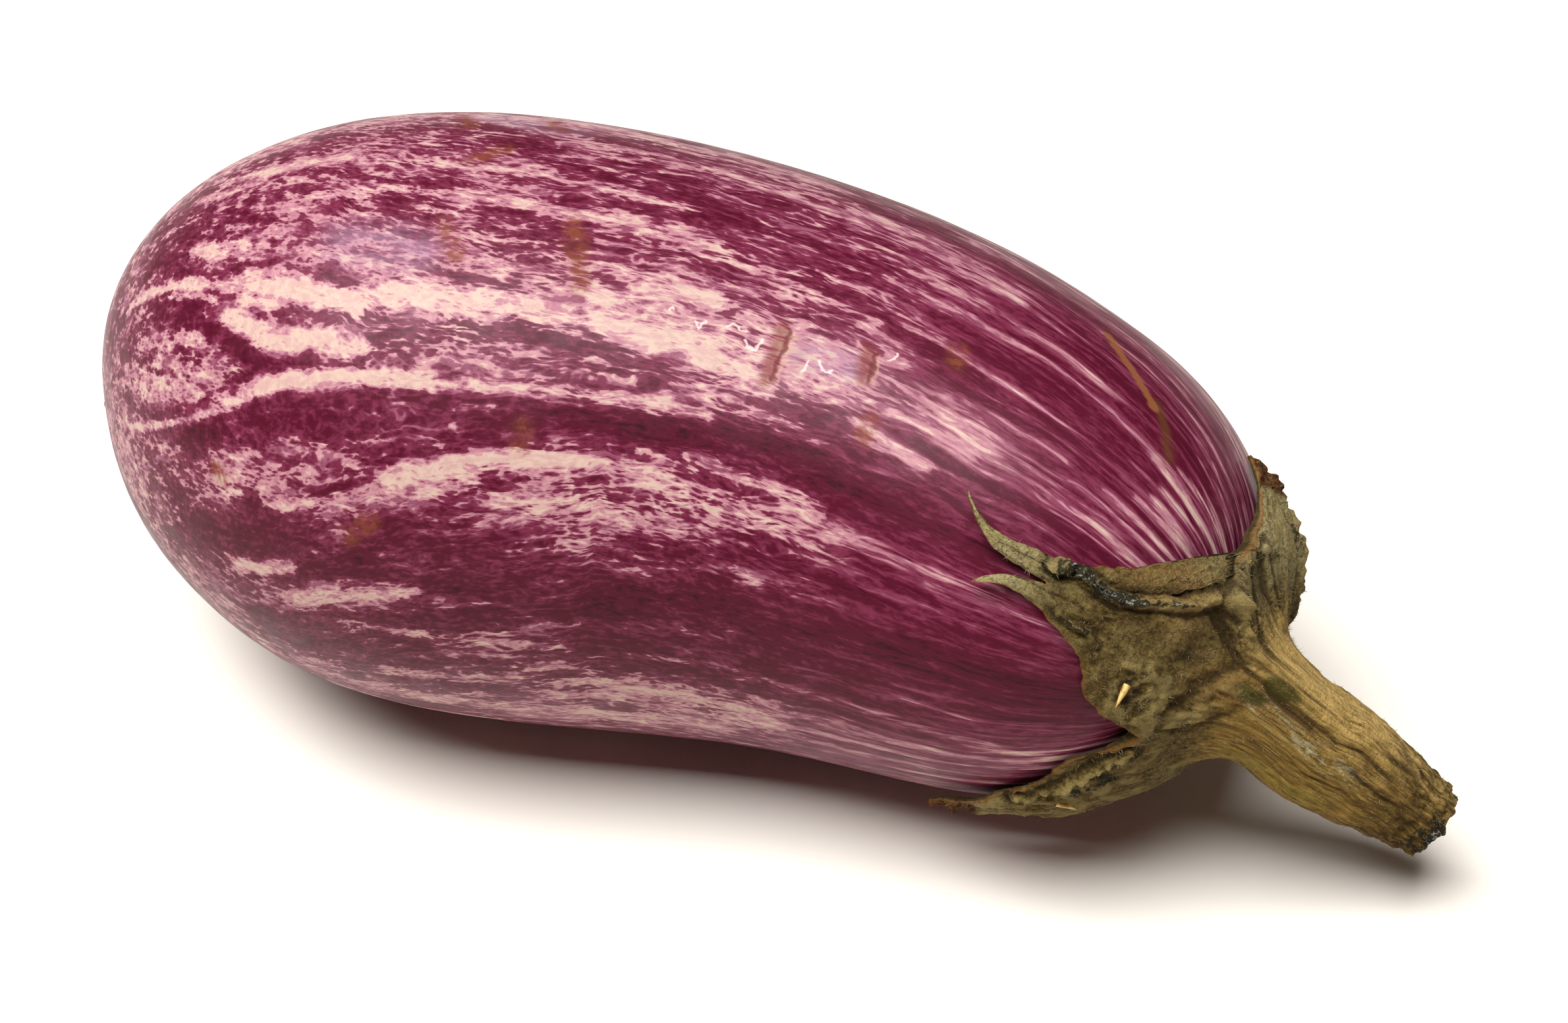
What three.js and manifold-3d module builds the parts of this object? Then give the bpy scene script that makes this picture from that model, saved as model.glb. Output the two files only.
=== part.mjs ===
// A striped aubergine lying on a table: the curved fruit, its leafy calyx and its cut stem.
// Millimetres, +Z up. The blossom end points to -X and the stem to +X.
import * as THREE from "three";
import { mergeVertices } from "three/addons/utils/BufferGeometryUtils.js";
import Module from "manifold-3d";

// ---- Driving dimensions ----
// The fruit is a round body swept along a curved centre line. A place along that line is given
// as a share of its length: 0 is the blossom end and 1 is the stem end.
const fruitLength = 168.3;
const bellyRadius = 43.7;
const shoulderRadius = 38.3;
const bendAtBlossomEnd = -27.9; // heading in degrees, turned from +X towards -Y
const bendAtStemEnd = 28.1;
const waverAngle = 2.75; // the centre line is not a perfect arc: it wavers by this angle
const waverPeriod = 0.58;
const waverStart = 0.057;
const droopAtBlossomEnd = 5.7; // degrees below level
const droopAtStemEnd = 0.6;
const blossomDomeEnd = 0.361; // the rounding of the blossom end stops at this share
const blossomRoundness = 2.23; // power of the dome: 2 is an ellipse, more is squarer
const stemDomeStart = 0.586;
const stemRoundness = 2.69;
const slimmingEnd = 0.828; // the belly has slimmed to the shoulder at this share
const restingDepth = 0.95; // how much of the round underside is flattened where it rests

// The calyx is a leathery leaf that hugs the stem end.
const skinGap = 0.4; // clearance between calyx and fruit
const jointGap = 0.3; // clearance between calyx and stem
const leafThickness = 0.8;
const collarThickness = 2.6;
const collarReach = 15.5; // distance from the stem end where the leaf turns up into the neck
const leafReach = 24; // distance from the stem end where the leaf has thinned out

// The stem droops from the fruit to just above the table.
const neckRadius = 8.1;
const neckPlace = 11.5; // distance along the stem where the calyx ends and the stem begins
const stemTipRadius = 5.3;
const rimRoughness = 0.35; // the cut's rim is uneven by this much

// Mesh resolution
const fruitRings = 40;
const fruitSectors = 72;
const calyxColumns = 124;
const leafRings = 6;
const neckRings = 5;
const stemRings = 15;
const stemSides = 24;

const degrees = Math.PI / 180;
const up = new THREE.Vector3(0, 0, 1);

// ---- Small helpers ----
function smooth(from, to, x) {
  const t = THREE.MathUtils.clamp((x - from) / (to - from), 0, 1);
  return t * t * (3 - 2 * t);
}

function bump(x) {
  return Math.exp(-x * x);
}

function angleBetween(a, b) {
  return ((a - b + 540) % 360) - 180;
}

// Joins rings of points into one closed skin. Each ring has the same number of points, and a
// lone point closes each end. Rings run so that the first ring's side faces backwards.
function skinFromRings(startPoint, rings, endPoint) {
  const count = rings[0].length;
  const points = [startPoint, ...rings.flat(), endPoint];
  const faces = [];
  for (let k = 0; k < count; k++) {
    const next = (k + 1) % count;
    faces.push(0, 1 + next, 1 + k);
    for (let i = 0; i + 1 < rings.length; i++) {
      const here = 1 + i * count;
      const there = here + count;
      faces.push(here + k, here + next, there + next);
      faces.push(here + k, there + next, there + k);
    }
    const last = 1 + (rings.length - 1) * count;
    faces.push(last + k, last + next, points.length - 1);
  }
  const geometry = new THREE.BufferGeometry().setFromPoints(points);
  geometry.setIndex(faces);
  return geometry;
}

// ---- The fruit's body ----
function headingAt(share) {
  const wave = Math.sin((2 * Math.PI * (share - waverStart)) / waverPeriod);
  return bendAtBlossomEnd + (bendAtStemEnd - bendAtBlossomEnd) * share + waverAngle * wave;
}

function directionAt(share) {
  const heading = headingAt(share) * degrees;
  const droop = (droopAtBlossomEnd + (droopAtStemEnd - droopAtBlossomEnd) * share) * degrees;
  const level = Math.cos(droop);
  return new THREE.Vector3(Math.cos(heading) * level, -Math.sin(heading) * level, -Math.sin(droop));
}

const centreLineSteps = 400;
const centreLine = [new THREE.Vector3()];
for (let i = 1; i <= centreLineSteps; i++) {
  const step = directionAt((i - 0.5) / centreLineSteps).multiplyScalar(fruitLength / centreLineSteps);
  centreLine.push(centreLine[i - 1].clone().add(step));
}

function centreAt(share) {
  const place = THREE.MathUtils.clamp(share, 0, 1) * centreLineSteps;
  const index = Math.min(Math.floor(place), centreLineSteps - 1);
  return centreLine[index].clone().lerp(centreLine[index + 1], place - index);
}

function radiusAt(share) {
  const slim = smooth(blossomDomeEnd, slimmingEnd, share);
  let radius = bellyRadius + (shoulderRadius - bellyRadius) * slim;
  if (share < blossomDomeEnd) {
    const reach = (1 - share / blossomDomeEnd) ** blossomRoundness;
    radius *= (1 - reach) ** (1 / blossomRoundness);
  }
  if (share > stemDomeStart) {
    const reach = ((share - stemDomeStart) / (1 - stemDomeStart)) ** stemRoundness;
    radius *= Math.max(0, 1 - reach) ** (1 / stemRoundness);
  }
  return radius;
}

// Unit vectors across a direction: sideways towards +Y, and up.
function crossFrame(direction) {
  const side = up.clone().cross(direction).normalize();
  return { side, rise: direction.clone().cross(side) };
}

// A unit vector pointing away from the centre line. Angle 0 is the far side (+Y), 90 the top,
// 180 the near side and 270 the underside.
function outwards(frame, angle) {
  const radians = angle * degrees;
  return frame.side.clone().multiplyScalar(Math.cos(radians)).addScaledVector(frame.rise, Math.sin(radians));
}

function skinPoint(share, angle) {
  const away = outwards(crossFrame(directionAt(share)), angle);
  return centreAt(share).addScaledVector(away, radiusAt(share));
}

// A point at a height above the skin, measured square to it.
function abovePoint(share, angle, height) {
  const step = 1e-4;
  const point = skinPoint(share, angle);
  const along = point.clone().sub(skinPoint(share - step, angle));
  const around = outwards(crossFrame(directionAt(share)), angle + 90);
  return point.addScaledVector(around.cross(along).normalize(), height);
}

function makeFruit() {
  const rings = [];
  for (let i = 1; i < fruitRings; i++) {
    const share = (1 - Math.cos((Math.PI * i) / fruitRings)) / 2;
    const ring = [];
    for (let k = 0; k < fruitSectors; k++) ring.push(skinPoint(share, (360 * k) / fruitSectors));
    rings.push(ring);
  }
  const lowest = Math.min(...rings.flat().map((point) => point.z));
  const tableHeight = lowest + restingDepth;
  for (const point of rings.flat()) point.z = Math.max(point.z, tableHeight);
  return { geometry: skinFromRings(centreAt(0), rings, centreAt(1)), tableHeight };
}

// ---- The calyx ----
// Places on it are given by an angle round the stem end and a distance from it over the skin.
const distanceTable = [{ distance: 0, share: 1 }];
const distanceSteps = 1500;
for (let i = 1; i <= distanceSteps; i++) {
  const share = 1 - 0.5 * (i / distanceSteps) ** 4;
  const last = distanceTable[i - 1];
  const step = Math.hypot(fruitLength * (last.share - share), radiusAt(share) - radiusAt(last.share));
  distanceTable.push({ distance: last.distance + step, share });
}

function shareAtDistance(distance) {
  const index = distanceTable.findIndex((row) => row.distance >= distance);
  const after = distanceTable[Math.max(index, 1)];
  const before = distanceTable[Math.max(index, 1) - 1];
  const part = (distance - before.distance) / (after.distance - before.distance);
  return before.share + (after.share - before.share) * part;
}

// The leaf's margin, lobe by lobe: [angle round the stem end, distance from it].
const leafMargin = [
  // short far lobe with a dry tip
  [2, 18.3], [16, 20.3], [30, 23.2], [41, 26.3], [48, 28.6], [54, 24.6], [65, 19.5], [84, 18.2],
  // large near lobe, ending in a long and a short pointed tip
  [106, 21.8], [116, 26.5], [123.5, 32], [127.3, 37.5], [128.8, 45], [130.4, 52.5], [132, 45],
  [132.9, 39.5], [133.6, 37], [134.4, 40], [135.4, 46.5], [137.6, 41], [139, 37.2], [141.5, 34.3],
  [146, 30], [153, 27.3], [160, 25.8], [169, 21.5], [178, 18],
  // lower near lobe
  [184, 21.5], [189, 26.5], [196, 30.5], [203, 35.5], [209, 41.5], [213.5, 48], [219, 41], [227, 34.5],
  [240, 28.5], [252, 23], [263, 19.5],
  // two lobes on the underside and far side
  [275, 25], [284, 33], [291, 41], [298, 33], [307, 25], [318, 19.5],
  [327, 25], [334, 32], [340, 37], [347, 29], [354, 22],
];

// Each pointed tip bends sideways: it starts to turn at a distance, by so many degrees a mm squared.
const longTip = { until: 133.4, turnsFrom: 43.5, turn: -0.08 };
const shortTip = { until: 138, turnsFrom: 39.5, turn: 0.1 };

function bentAngle(angle, distance) {
  const tip = angle < longTip.until ? longTip : shortTip;
  const inside = angle > 120 && angle < shortTip.until;
  const beyond = inside ? Math.max(0, distance - tip.turnsFrom) : 0;
  return angle + tip.turn * beyond * beyond;
}

// Dry lobes stand off the skin here and there: at an angle and distance, over a spread of both.
const standOffs = [
  { angle: 224, distance: 27, angleSpread: 22, distanceSpread: 11, height: 1.5 },
  { angle: 16, distance: 20, angleSpread: 34, distanceSpread: 8, height: 1.3 },
];
const marginWave = 0.3; // the margin waves up and down by this much
const marginWaves = 26;
const tipLift = 0.004; // tips lift by this times the square of the distance past 30 mm

function leafHeight(angle, distance, reach, turn) {
  let height = 0;
  for (const place of standOffs) {
    const byAngle = bump(angleBetween(angle, place.angle) / place.angleSpread);
    const byDistance = bump((distance - place.distance) / place.distanceSpread);
    height += place.height * byAngle * byDistance;
  }
  height += tipLift * Math.max(0, distance - 30) ** 2;
  const wave = marginWave * (1 + Math.sin(marginWaves * turn));
  return height + wave * smooth(0.6, 1, distance / reach);
}

function leafBody(distance) {
  return leafThickness + (collarThickness - leafThickness) * smooth(leafReach, collarReach, distance);
}

// ---- The stem's centre line and girth ----
const stemStart = centreAt(1);
const stemLine = new THREE.CatmullRomCurve3([
  stemStart,
  stemStart.clone().add(new THREE.Vector3(4.2, -1.6, -2.6)),
  stemStart.clone().add(new THREE.Vector3(12.4, -1.3, -10)),
  stemStart.clone().add(new THREE.Vector3(18.4, -0.4, -14.6)),
  stemStart.clone().add(new THREE.Vector3(24, 0, -18.4)),
  stemStart.clone().add(new THREE.Vector3(31.7, -0.2, -23.5)),
]);
const stemLength = stemLine.getLength();

// Girth along the stem: [share of its length, radius].
const stemGirth = [[0.2, 8.1], [0.46, 8.3], [0.64, 7.8], [0.78, 6.8], [0.9, 5.8], [1, stemTipRadius]];

function stemRadius(share) {
  const index = Math.max(1, stemGirth.findIndex((row) => row[0] >= share));
  const [fromShare, fromRadius] = stemGirth[index - 1];
  const [toShare, toRadius] = stemGirth[index];
  return fromRadius + (toRadius - fromRadius) * smooth(fromShare, toShare, share);
}

// The stem is ribbed: its radius swells and sinks a little round its girth.
function ribbing(angle, share) {
  const radians = angle * degrees;
  const broad = 0.035 * Math.cos(3 * radians + 1.2 + 0.8 * share);
  const fine = 0.025 * Math.cos(7 * radians - 0.5 + 1.5 * share);
  return 1 + broad + fine;
}

function stemPoint(share, angle, radius) {
  const frame = crossFrame(stemLine.getTangentAt(share));
  return stemLine.getPointAt(share).addScaledVector(outwards(frame, angle), radius * ribbing(angle, share));
}

function makeCalyx() {
  const outline = leafMargin.map(([angle, distance]) => {
    const radians = angle * degrees;
    return new THREE.Vector3(distance * Math.cos(radians), distance * Math.sin(radians), 0);
  });
  const marginCurve = new THREE.CatmullRomCurve3(outline, true, "centripetal");
  const columns = marginCurve.getSpacedPoints(calyxColumns).slice(0, calyxColumns).map((point, index) => ({
    angle: (Math.atan2(point.y, point.x) / degrees + 360) % 360,
    reach: Math.hypot(point.x, point.y),
    turn: (2 * Math.PI * index) / calyxColumns,
  }));

  // One ring of the leaf, all round: 0 is at the collar and 1 at the margin.
  function leafRing(part, outside) {
    return columns.map(({ angle, reach, turn }) => {
      const distance = collarReach + (reach - collarReach) * part;
      const body = outside ? leafBody(distance) : 0;
      const height = skinGap + leafHeight(angle, distance, reach, turn) + body;
      return abovePoint(shareAtDistance(distance), bentAngle(angle, distance), height);
    });
  }

  // Under the collar the inner face closes over the stem end of the fruit.
  function underRing(distance) {
    return columns.map(({ angle, reach, turn }) => {
      const height = skinGap + leafHeight(angle, distance, reach, turn);
      return abovePoint(shareAtDistance(distance), angle, height);
    });
  }

  const rings = [underRing(5), underRing(10)];
  for (let i = 0; i <= leafRings; i++) rings.push(leafRing(i / leafRings, false));
  for (let i = leafRings; i >= 0; i--) rings.push(leafRing(i / leafRings, true));

  // From the collar the outside turns up along the stem, ending in a flat ring.
  const collar = rings.at(-1);
  const beforeCollar = rings.at(-2);
  const neckShare = neckPlace / stemLength;
  const neckDirection = stemLine.getTangentAt(neckShare);
  const flares = columns.map(({ angle }, index) => {
    const from = collar[index];
    const to = stemPoint(neckShare, angle, neckRadius);
    const handle = 0.42 * from.distanceTo(to);
    const leaving = from.clone().sub(beforeCollar[index]).setLength(handle);
    const arriving = neckDirection.clone().multiplyScalar(-handle);
    return new THREE.CubicBezierCurve3(from, from.clone().add(leaving), to.clone().add(arriving), to);
  });
  for (let i = 1; i <= neckRings; i++) rings.push(flares.map((flare) => flare.getPoint(i / neckRings)));

  return skinFromRings(abovePoint(1 - 1e-9, 0, skinGap), rings, stemLine.getPointAt(neckShare));
}

function makeStem() {
  const startShare = (neckPlace + jointGap) / stemLength;
  const rings = [];
  for (let i = 0; i <= stemRings; i++) {
    const share = startShare + ((1 - startShare) * i) / stemRings;
    const ring = [];
    for (let k = 0; k < stemSides; k++) {
      const angle = (360 * k) / stemSides;
      ring.push(stemPoint(share, angle, i === 0 ? neckRadius : stemRadius(share)));
    }
    rings.push(ring);
  }
  // The cut is a little rough: its rim and its middle are not in one plane.
  const endDirection = stemLine.getTangentAt(1);
  const endCentre = stemLine.getPointAt(1);
  const rim = rings.at(-1);
  rim.forEach((point, k) => point.addScaledVector(endDirection, rimRoughness * Math.sin(2.3 * k)));
  rings.push(rim.map((point) => point.clone().lerp(endCentre, 0.3).addScaledVector(endDirection, 0.8)));
  return skinFromRings(
    stemLine.getPointAt(startShare),
    rings,
    endCentre.clone().addScaledVector(endDirection, 0.4),
  );
}

// ---- Prickles, fused to the calyx ----
const prickles = [
  { angle: 155, distance: 22, lean: 55, towards: -60 },
  { angle: 217, distance: 28, lean: 60, towards: 20 },
  { angle: 305, distance: 20, lean: 45, towards: 150 },
];
const prickleLength = 3;
const prickleRadius = 0.5;
const prickleRoot = 0.6; // how deep its foot is sunk

function makePrickle({ angle, distance, lean, towards }) {
  const share = shareAtDistance(distance);
  const height = skinGap + leafHeight(angle, distance, leafReach, 0) + leafBody(distance);
  const foot = abovePoint(share, angle, height);
  const normal = abovePoint(share, angle, height + 1).sub(foot);
  const sideways = outwards(crossFrame(directionAt(share)), angle + 90).applyAxisAngle(normal, towards * degrees);
  const axis = normal.clone().applyAxisAngle(sideways, lean * degrees).normalize();
  const geometry = new THREE.ConeGeometry(prickleRadius, prickleLength, 6);
  geometry.translate(0, prickleLength / 2 - prickleRoot, 0);
  geometry.applyQuaternion(new THREE.Quaternion().setFromUnitVectors(new THREE.Vector3(0, 1, 0), axis));
  geometry.translate(foot.x, foot.y, foot.z);
  return geometry;
}

// ---- Joining closed meshes ----
const wasm = await Module();
wasm.setup();

function toSolid(geometry) {
  const bare = geometry.clone();
  bare.deleteAttribute("normal");
  bare.deleteAttribute("uv");
  const merged = mergeVertices(bare, 1e-4);
  const mesh = new wasm.Mesh({
    numProp: 3,
    vertProperties: new Float32Array(merged.attributes.position.array),
    triVerts: new Uint32Array(merged.index.array),
  });
  return new wasm.Manifold(mesh);
}

function toGeometry(solid) {
  const mesh = solid.getMesh();
  const geometry = new THREE.BufferGeometry();
  geometry.setAttribute("position", new THREE.BufferAttribute(new Float32Array(mesh.vertProperties), 3));
  geometry.setIndex(new THREE.BufferAttribute(new Uint32Array(mesh.triVerts), 1));
  return geometry;
}

// ---- Assembly ----
const { geometry: fruitGeometry, tableHeight } = makeFruit();
let calyxSolid = toSolid(makeCalyx());
for (const prickle of prickles) calyxSolid = calyxSolid.add(toSolid(makePrickle(prickle)));
const calyxGeometry = toGeometry(calyxSolid);
const stemGeometry = makeStem();

const materials = {
  fruit: new THREE.MeshStandardMaterial({ color: 0x7a2848, roughness: 0.28, metalness: 0 }),
  calyx: new THREE.MeshStandardMaterial({ color: 0x7a6a48, roughness: 0.9, metalness: 0 }),
  stem: new THREE.MeshStandardMaterial({ color: 0x9a7c4e, roughness: 0.88, metalness: 0 }),
};

function namedMesh(name, geometry) {
  geometry.computeVertexNormals();
  const mesh = new THREE.Mesh(geometry, materials[name]);
  mesh.name = name;
  return mesh;
}

const aubergine = new THREE.Group();
aubergine.add(namedMesh("fruit", fruitGeometry));
aubergine.add(namedMesh("calyx", calyxGeometry));
aubergine.add(namedMesh("stem", stemGeometry));

// The origin is on the table, under the middle of the whole object.
const box = new THREE.Box3().setFromObject(aubergine);
const middle = box.getCenter(new THREE.Vector3());
aubergine.children.forEach((mesh) => mesh.geometry.translate(-middle.x, -middle.y, -tableHeight));

export default aubergine;
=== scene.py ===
# %% [markdown]
# # A striped aubergine
# The object is one picked aubergine, lying on its side on a white table. It has three parts: the
# fat curved fruit with its purple and cream skin, the dry leafy calyx that holds its stem end,
# and the woody stem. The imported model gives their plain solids. Here each one is made again at
# the fineness of the real thing, in the same place, and gets a finish built from nodes.

# %% Load the plain solids
import math

import bpy
import numpy as np
from mathutils import Matrix, Vector, noise


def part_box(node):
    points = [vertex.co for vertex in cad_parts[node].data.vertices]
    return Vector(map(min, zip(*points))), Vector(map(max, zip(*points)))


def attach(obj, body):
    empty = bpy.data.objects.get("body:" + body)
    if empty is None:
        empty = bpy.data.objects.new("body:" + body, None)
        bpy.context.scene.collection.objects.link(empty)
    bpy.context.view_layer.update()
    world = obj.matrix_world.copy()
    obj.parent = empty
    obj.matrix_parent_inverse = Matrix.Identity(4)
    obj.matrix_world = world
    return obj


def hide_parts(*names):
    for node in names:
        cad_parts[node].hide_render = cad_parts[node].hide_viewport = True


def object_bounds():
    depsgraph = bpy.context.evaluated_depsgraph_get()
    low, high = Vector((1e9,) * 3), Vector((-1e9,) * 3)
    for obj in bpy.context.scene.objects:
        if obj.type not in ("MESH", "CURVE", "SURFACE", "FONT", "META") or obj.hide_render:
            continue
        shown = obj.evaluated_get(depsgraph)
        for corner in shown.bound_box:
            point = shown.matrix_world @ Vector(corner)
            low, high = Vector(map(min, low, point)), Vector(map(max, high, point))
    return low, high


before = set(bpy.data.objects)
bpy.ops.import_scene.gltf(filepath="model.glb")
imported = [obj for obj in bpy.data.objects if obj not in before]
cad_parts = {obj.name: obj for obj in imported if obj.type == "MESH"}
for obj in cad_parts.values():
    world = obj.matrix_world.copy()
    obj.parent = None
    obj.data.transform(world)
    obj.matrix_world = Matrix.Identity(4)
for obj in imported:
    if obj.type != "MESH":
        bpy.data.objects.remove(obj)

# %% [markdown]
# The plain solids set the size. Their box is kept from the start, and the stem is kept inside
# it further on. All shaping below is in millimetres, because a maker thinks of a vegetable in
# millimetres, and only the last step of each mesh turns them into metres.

cad_box = [list(corner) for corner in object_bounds()]
MM = 0.001
print("plain solids, mm:", [[round(value / MM, 2) for value in corner] for corner in cad_box])

# %% [markdown]
# ## The view and the light
# The camera stands a forearm's length away and looks down at 45 degrees, a little round towards
# the stem. Its place and its three directions are given outright. A camera looks along its own
# minus Z, so its third direction points back from the object towards the eye. A constraint that
# tracks the object would be quicker, but it always puts the object in the middle of the frame.

# %% Camera
EYE = (65.6, -255.5, 297.2)
right = Vector((0.96890, 0.24746, 0.0))
upward = Vector((-0.17498, 0.68511, 0.70711))
backward = Vector((0.17498, -0.68511, 0.70711))
camera = bpy.data.objects.new("camera", bpy.data.cameras.new("camera"))
turned = Matrix((right, upward, backward)).transposed().to_4x4()
camera.matrix_world = Matrix.Translation(Vector(EYE) * MM) @ turned
camera.data.sensor_width = 36
camera.data.lens = 59.0
camera.data.clip_start = 0.01
bpy.context.scene.collection.objects.link(camera)
bpy.context.scene.camera = camera
print("lens:", camera.data.lens, "mm")

# %% [markdown]
# The light is one wide soft source overhead, a little to the left and towards the viewer, as a
# window or a lit ceiling is to a kitchen table, and pale warm surroundings fill the shadows. An
# area light does the first and the world's background the second. A wide source gives the skin
# its long soft highlight, where a lamp with no size would give a hard white dot.

# %% Light
lamp = bpy.data.objects.new("overhead_light", bpy.data.lights.new("overhead_light", "AREA"))
lamp.data.shape = "RECTANGLE"
lamp.data.size = 1.15
lamp.data.size_y = 0.95
lamp.data.energy = 57
lamp.location = (-0.32, -0.38, 1.4)
lamp.rotation_euler = (math.radians(-15), math.radians(-13), 0)
bpy.context.scene.collection.objects.link(lamp)

world = bpy.data.worlds.new("pale_room")
world.use_nodes = True
background = world.node_tree.nodes["Background"].inputs
background["Color"].default_value = (1.0, 0.76, 0.6, 1)
background["Strength"].default_value = 0.085
bpy.context.scene.world = world
bpy.context.scene.view_settings.view_transform = "Standard"
print("light:", lamp.data.energy, "W over", lamp.data.size, "by", lamp.data.size_y, "m")

# %% [markdown]
# ## Helpers for finishes
# A finish is a small network of nodes. Building one in code is easier to read when each node
# is one short call, so this helper makes a node, sets its options, and either links or sets
# each of its inputs. An input is called by its name, or by i and its number. A socket knows
# which tree it belongs to, so a new node goes into the tree of what is linked to it.

# %% One call for one node
def is_socket(value):
    return isinstance(value, bpy.types.NodeSocket)


def node(kind, options=None, tree=None, **inputs):
    tree = tree or next(filter(is_socket, inputs.values())).id_data
    made = tree.nodes.new("ShaderNode" + kind)
    for name, value in (options or {}).items():
        setattr(made, name, value)
    for name, value in inputs.items():
        socket = made.inputs[int(name[1:]) if name[1:].isdigit() else name]
        if is_socket(value):
            tree.links.new(value, socket)
        else:
            socket.default_value = value
    return made


def new_finish(name):
    """A material, its tree of nodes, and the shader in it."""
    finish = bpy.data.materials.new(name)
    finish.use_nodes = True
    return finish, finish.node_tree, finish.node_tree.nodes["Principled BSDF"]


def colour(code):
    """The linear colour of a usual six-digit colour code."""
    parts = [int(code[i:i + 2], 16) / 255 for i in (0, 2, 4)]
    return [p / 12.92 if p <= 0.04045 else ((p + 0.055) / 1.055) ** 2.4 for p in parts] + [1]


# %% Places and readings
def vectors(operation, a, b):
    return node("VectorMath", {"operation": operation}, i0=a, i1=b).outputs[0]


def reading(tree, name, output="Fac"):
    """What a mesh has stored at its points under a name."""
    return node("Attribute", {"attribute_name": name}, tree).outputs[output]


def in_three(vector):
    return node("SeparateXYZ", Vector=vector).outputs


def object_place(tree, scale=(1000, 1000, 1000)):
    """The place in the piece itself. The usual scale turns metres into millimetres."""
    return vectors("MULTIPLY", node("TexCoord", tree=tree).outputs["Object"], scale)


def stretched(place, along):
    """Places whose third number runs slower, so that noise there is drawn out along it."""
    return vectors("MULTIPLY", place, (1, 1, along))


def grained(place, scale, detail=2.0, roughness=0.5):
    """A noise value, about 0 to 1, at a place measured in millimetres."""
    noisy = node("TexNoise", Vector=place, Scale=scale, Detail=detail, Roughness=roughness)
    return noisy.outputs["Fac"]


def shaken(place, scale, detail, amount):
    """A random offset that changes smoothly from place to place."""
    random = node("TexNoise", Vector=place, Scale=scale, Detail=detail).outputs["Color"]
    return vectors("MULTIPLY", vectors("SUBTRACT", random, (0.5, 0.5, 0.5)), amount)


# %% Sums and steps
def maths(operation, a, b=0.0):
    return node("Math", {"operation": operation}, i0=a, i1=b).outputs[0]


def times(a, b):
    return maths("MULTIPLY", a, b)


def joined(operation, values):
    """One number from several, such as their sum or the largest of them."""
    first, *others = values
    for other in others:
        first = maths(operation, first, other)
    return first


def summed(*values):
    return joined("ADD", values)


def largest(*values):
    return joined("MAXIMUM", values)


def about_middle(value, strength, middle=0.5):
    return times(maths("SUBTRACT", value, middle), strength)


def blend_number(share, first, second):
    """First where share is 0, second where it is 1."""
    return summed(first, times(share, maths("SUBTRACT", second, first)))


def ramp_up(value, start, stop, low=0.0, high=1.0):
    """A soft step from low to high while the value goes from start to stop."""
    kind = {"interpolation_type": "SMOOTHSTEP"}
    return node("MapRange", kind, i0=value, i1=start, i2=stop, i3=low, i4=high).outputs[0]


# %% Colours laid over colours
def blend(share, under, over):
    made = node("Mix", {"data_type": "RGBA", "blend_type": "MIX"}, i0=share, i6=under, i7=over)
    return made.outputs[2]


def two_tones(value, start, stop, low_code, high_code):
    """One colour below start and another above stop."""
    return blend(ramp_up(value, start, stop), colour(low_code), colour(high_code))


def layered(under, layers):
    """Lays colours over one another. Each layer is how much of it shows, and its colour code."""
    for share, code in layers:
        under = blend(share, under, colour(code))
    return under


# %% [markdown]
# A mesh also needs a few lines each time: the points, the faces, smooth shading, and readings
# stored at its points for the finish to use, such as how pale the skin is there. Edges that
# turn sharply stay crisp, so that a thin leaf's margin doesn't shade like a pillow.

# %% One call for one mesh
SHARP_EDGE = math.radians(75)


def mesh_piece(name, points, faces, readings=None):
    mesh = bpy.data.meshes.new(name)
    mesh.from_pydata(np.asarray(points, float) * MM, [], faces)
    mesh.polygons.foreach_set("use_smooth", np.ones(len(mesh.polygons), bool))
    for label, values in (readings or {}).items():
        values = np.asarray(values, np.float32)
        wide = values.ndim == 2
        stored = mesh.attributes.new(label, "FLOAT_VECTOR" if wide else "FLOAT", "POINT")
        stored.data.foreach_set("vector" if wide else "value", values.ravel())
    mesh.update()
    mesh.set_sharp_from_angle(angle=SHARP_EDGE)
    piece = bpy.data.objects.new(name, mesh)
    bpy.context.scene.collection.objects.link(piece)
    triangles = sum(len(face) - 2 for face in faces)
    print(name, "has", len(points), "points and", triangles, "triangles")
    return piece


# %% Stacks of rings
def ring_faces(rings, count):
    """Faces that close a stack of rings, with a lone first point and a lone last point."""
    k = np.arange(count)
    after = (k + 1) % count
    last = 1 + (rings - 1) * count
    starts = 1 + np.arange(rings - 1)[:, None] * count
    quads = np.stack([starts + k, starts + after, starts + count + after, starts + count + k], -1)
    pairs = list(zip(k.tolist(), after.tolist()))
    faces = [(0, 1 + b, 1 + a) for a, b in pairs]
    faces += quads.reshape(-1, 4).tolist()
    faces += [(last + a, last + b, last + count) for a, b in pairs]
    return faces


def with_ends(values, first, last):
    """The values of a stack of rings, with those of its lone first and last points."""
    return np.concatenate([[first], values.reshape(-1, *values.shape[2:]), [last]])


# %% [markdown]
# ## The table
# The table is one flat square just under the fruit, so wide that no edge of it shows from any
# side. It has no thickness, because nobody sees its underside. It is part of the stage and not
# of the model, so it is not attached to the body.

# %% Table top
TABLE_HALF, TABLE_TOP = 4000, -0.1
corners = [(x * TABLE_HALF, y * TABLE_HALF, TABLE_TOP) for x, y in ((-1, -1), (1, -1), (1, 1), (-1, 1))]
floor = mesh_piece("table_top", corners, [(0, 1, 2, 3)])
table_finish, table_tree, table_shader = new_finish("white_table")
table_mottle = grained(node("TexCoord", tree=table_tree).outputs["Object"], 9.0)
table_colour = blend(table_mottle, colour("E2DCD2"), colour("E7E1D8"))
table_tree.links.new(table_colour, table_shader.inputs["Base Color"])
table_shader.inputs["Roughness"].default_value = 0.6
floor.data.materials.append(table_finish)

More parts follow.
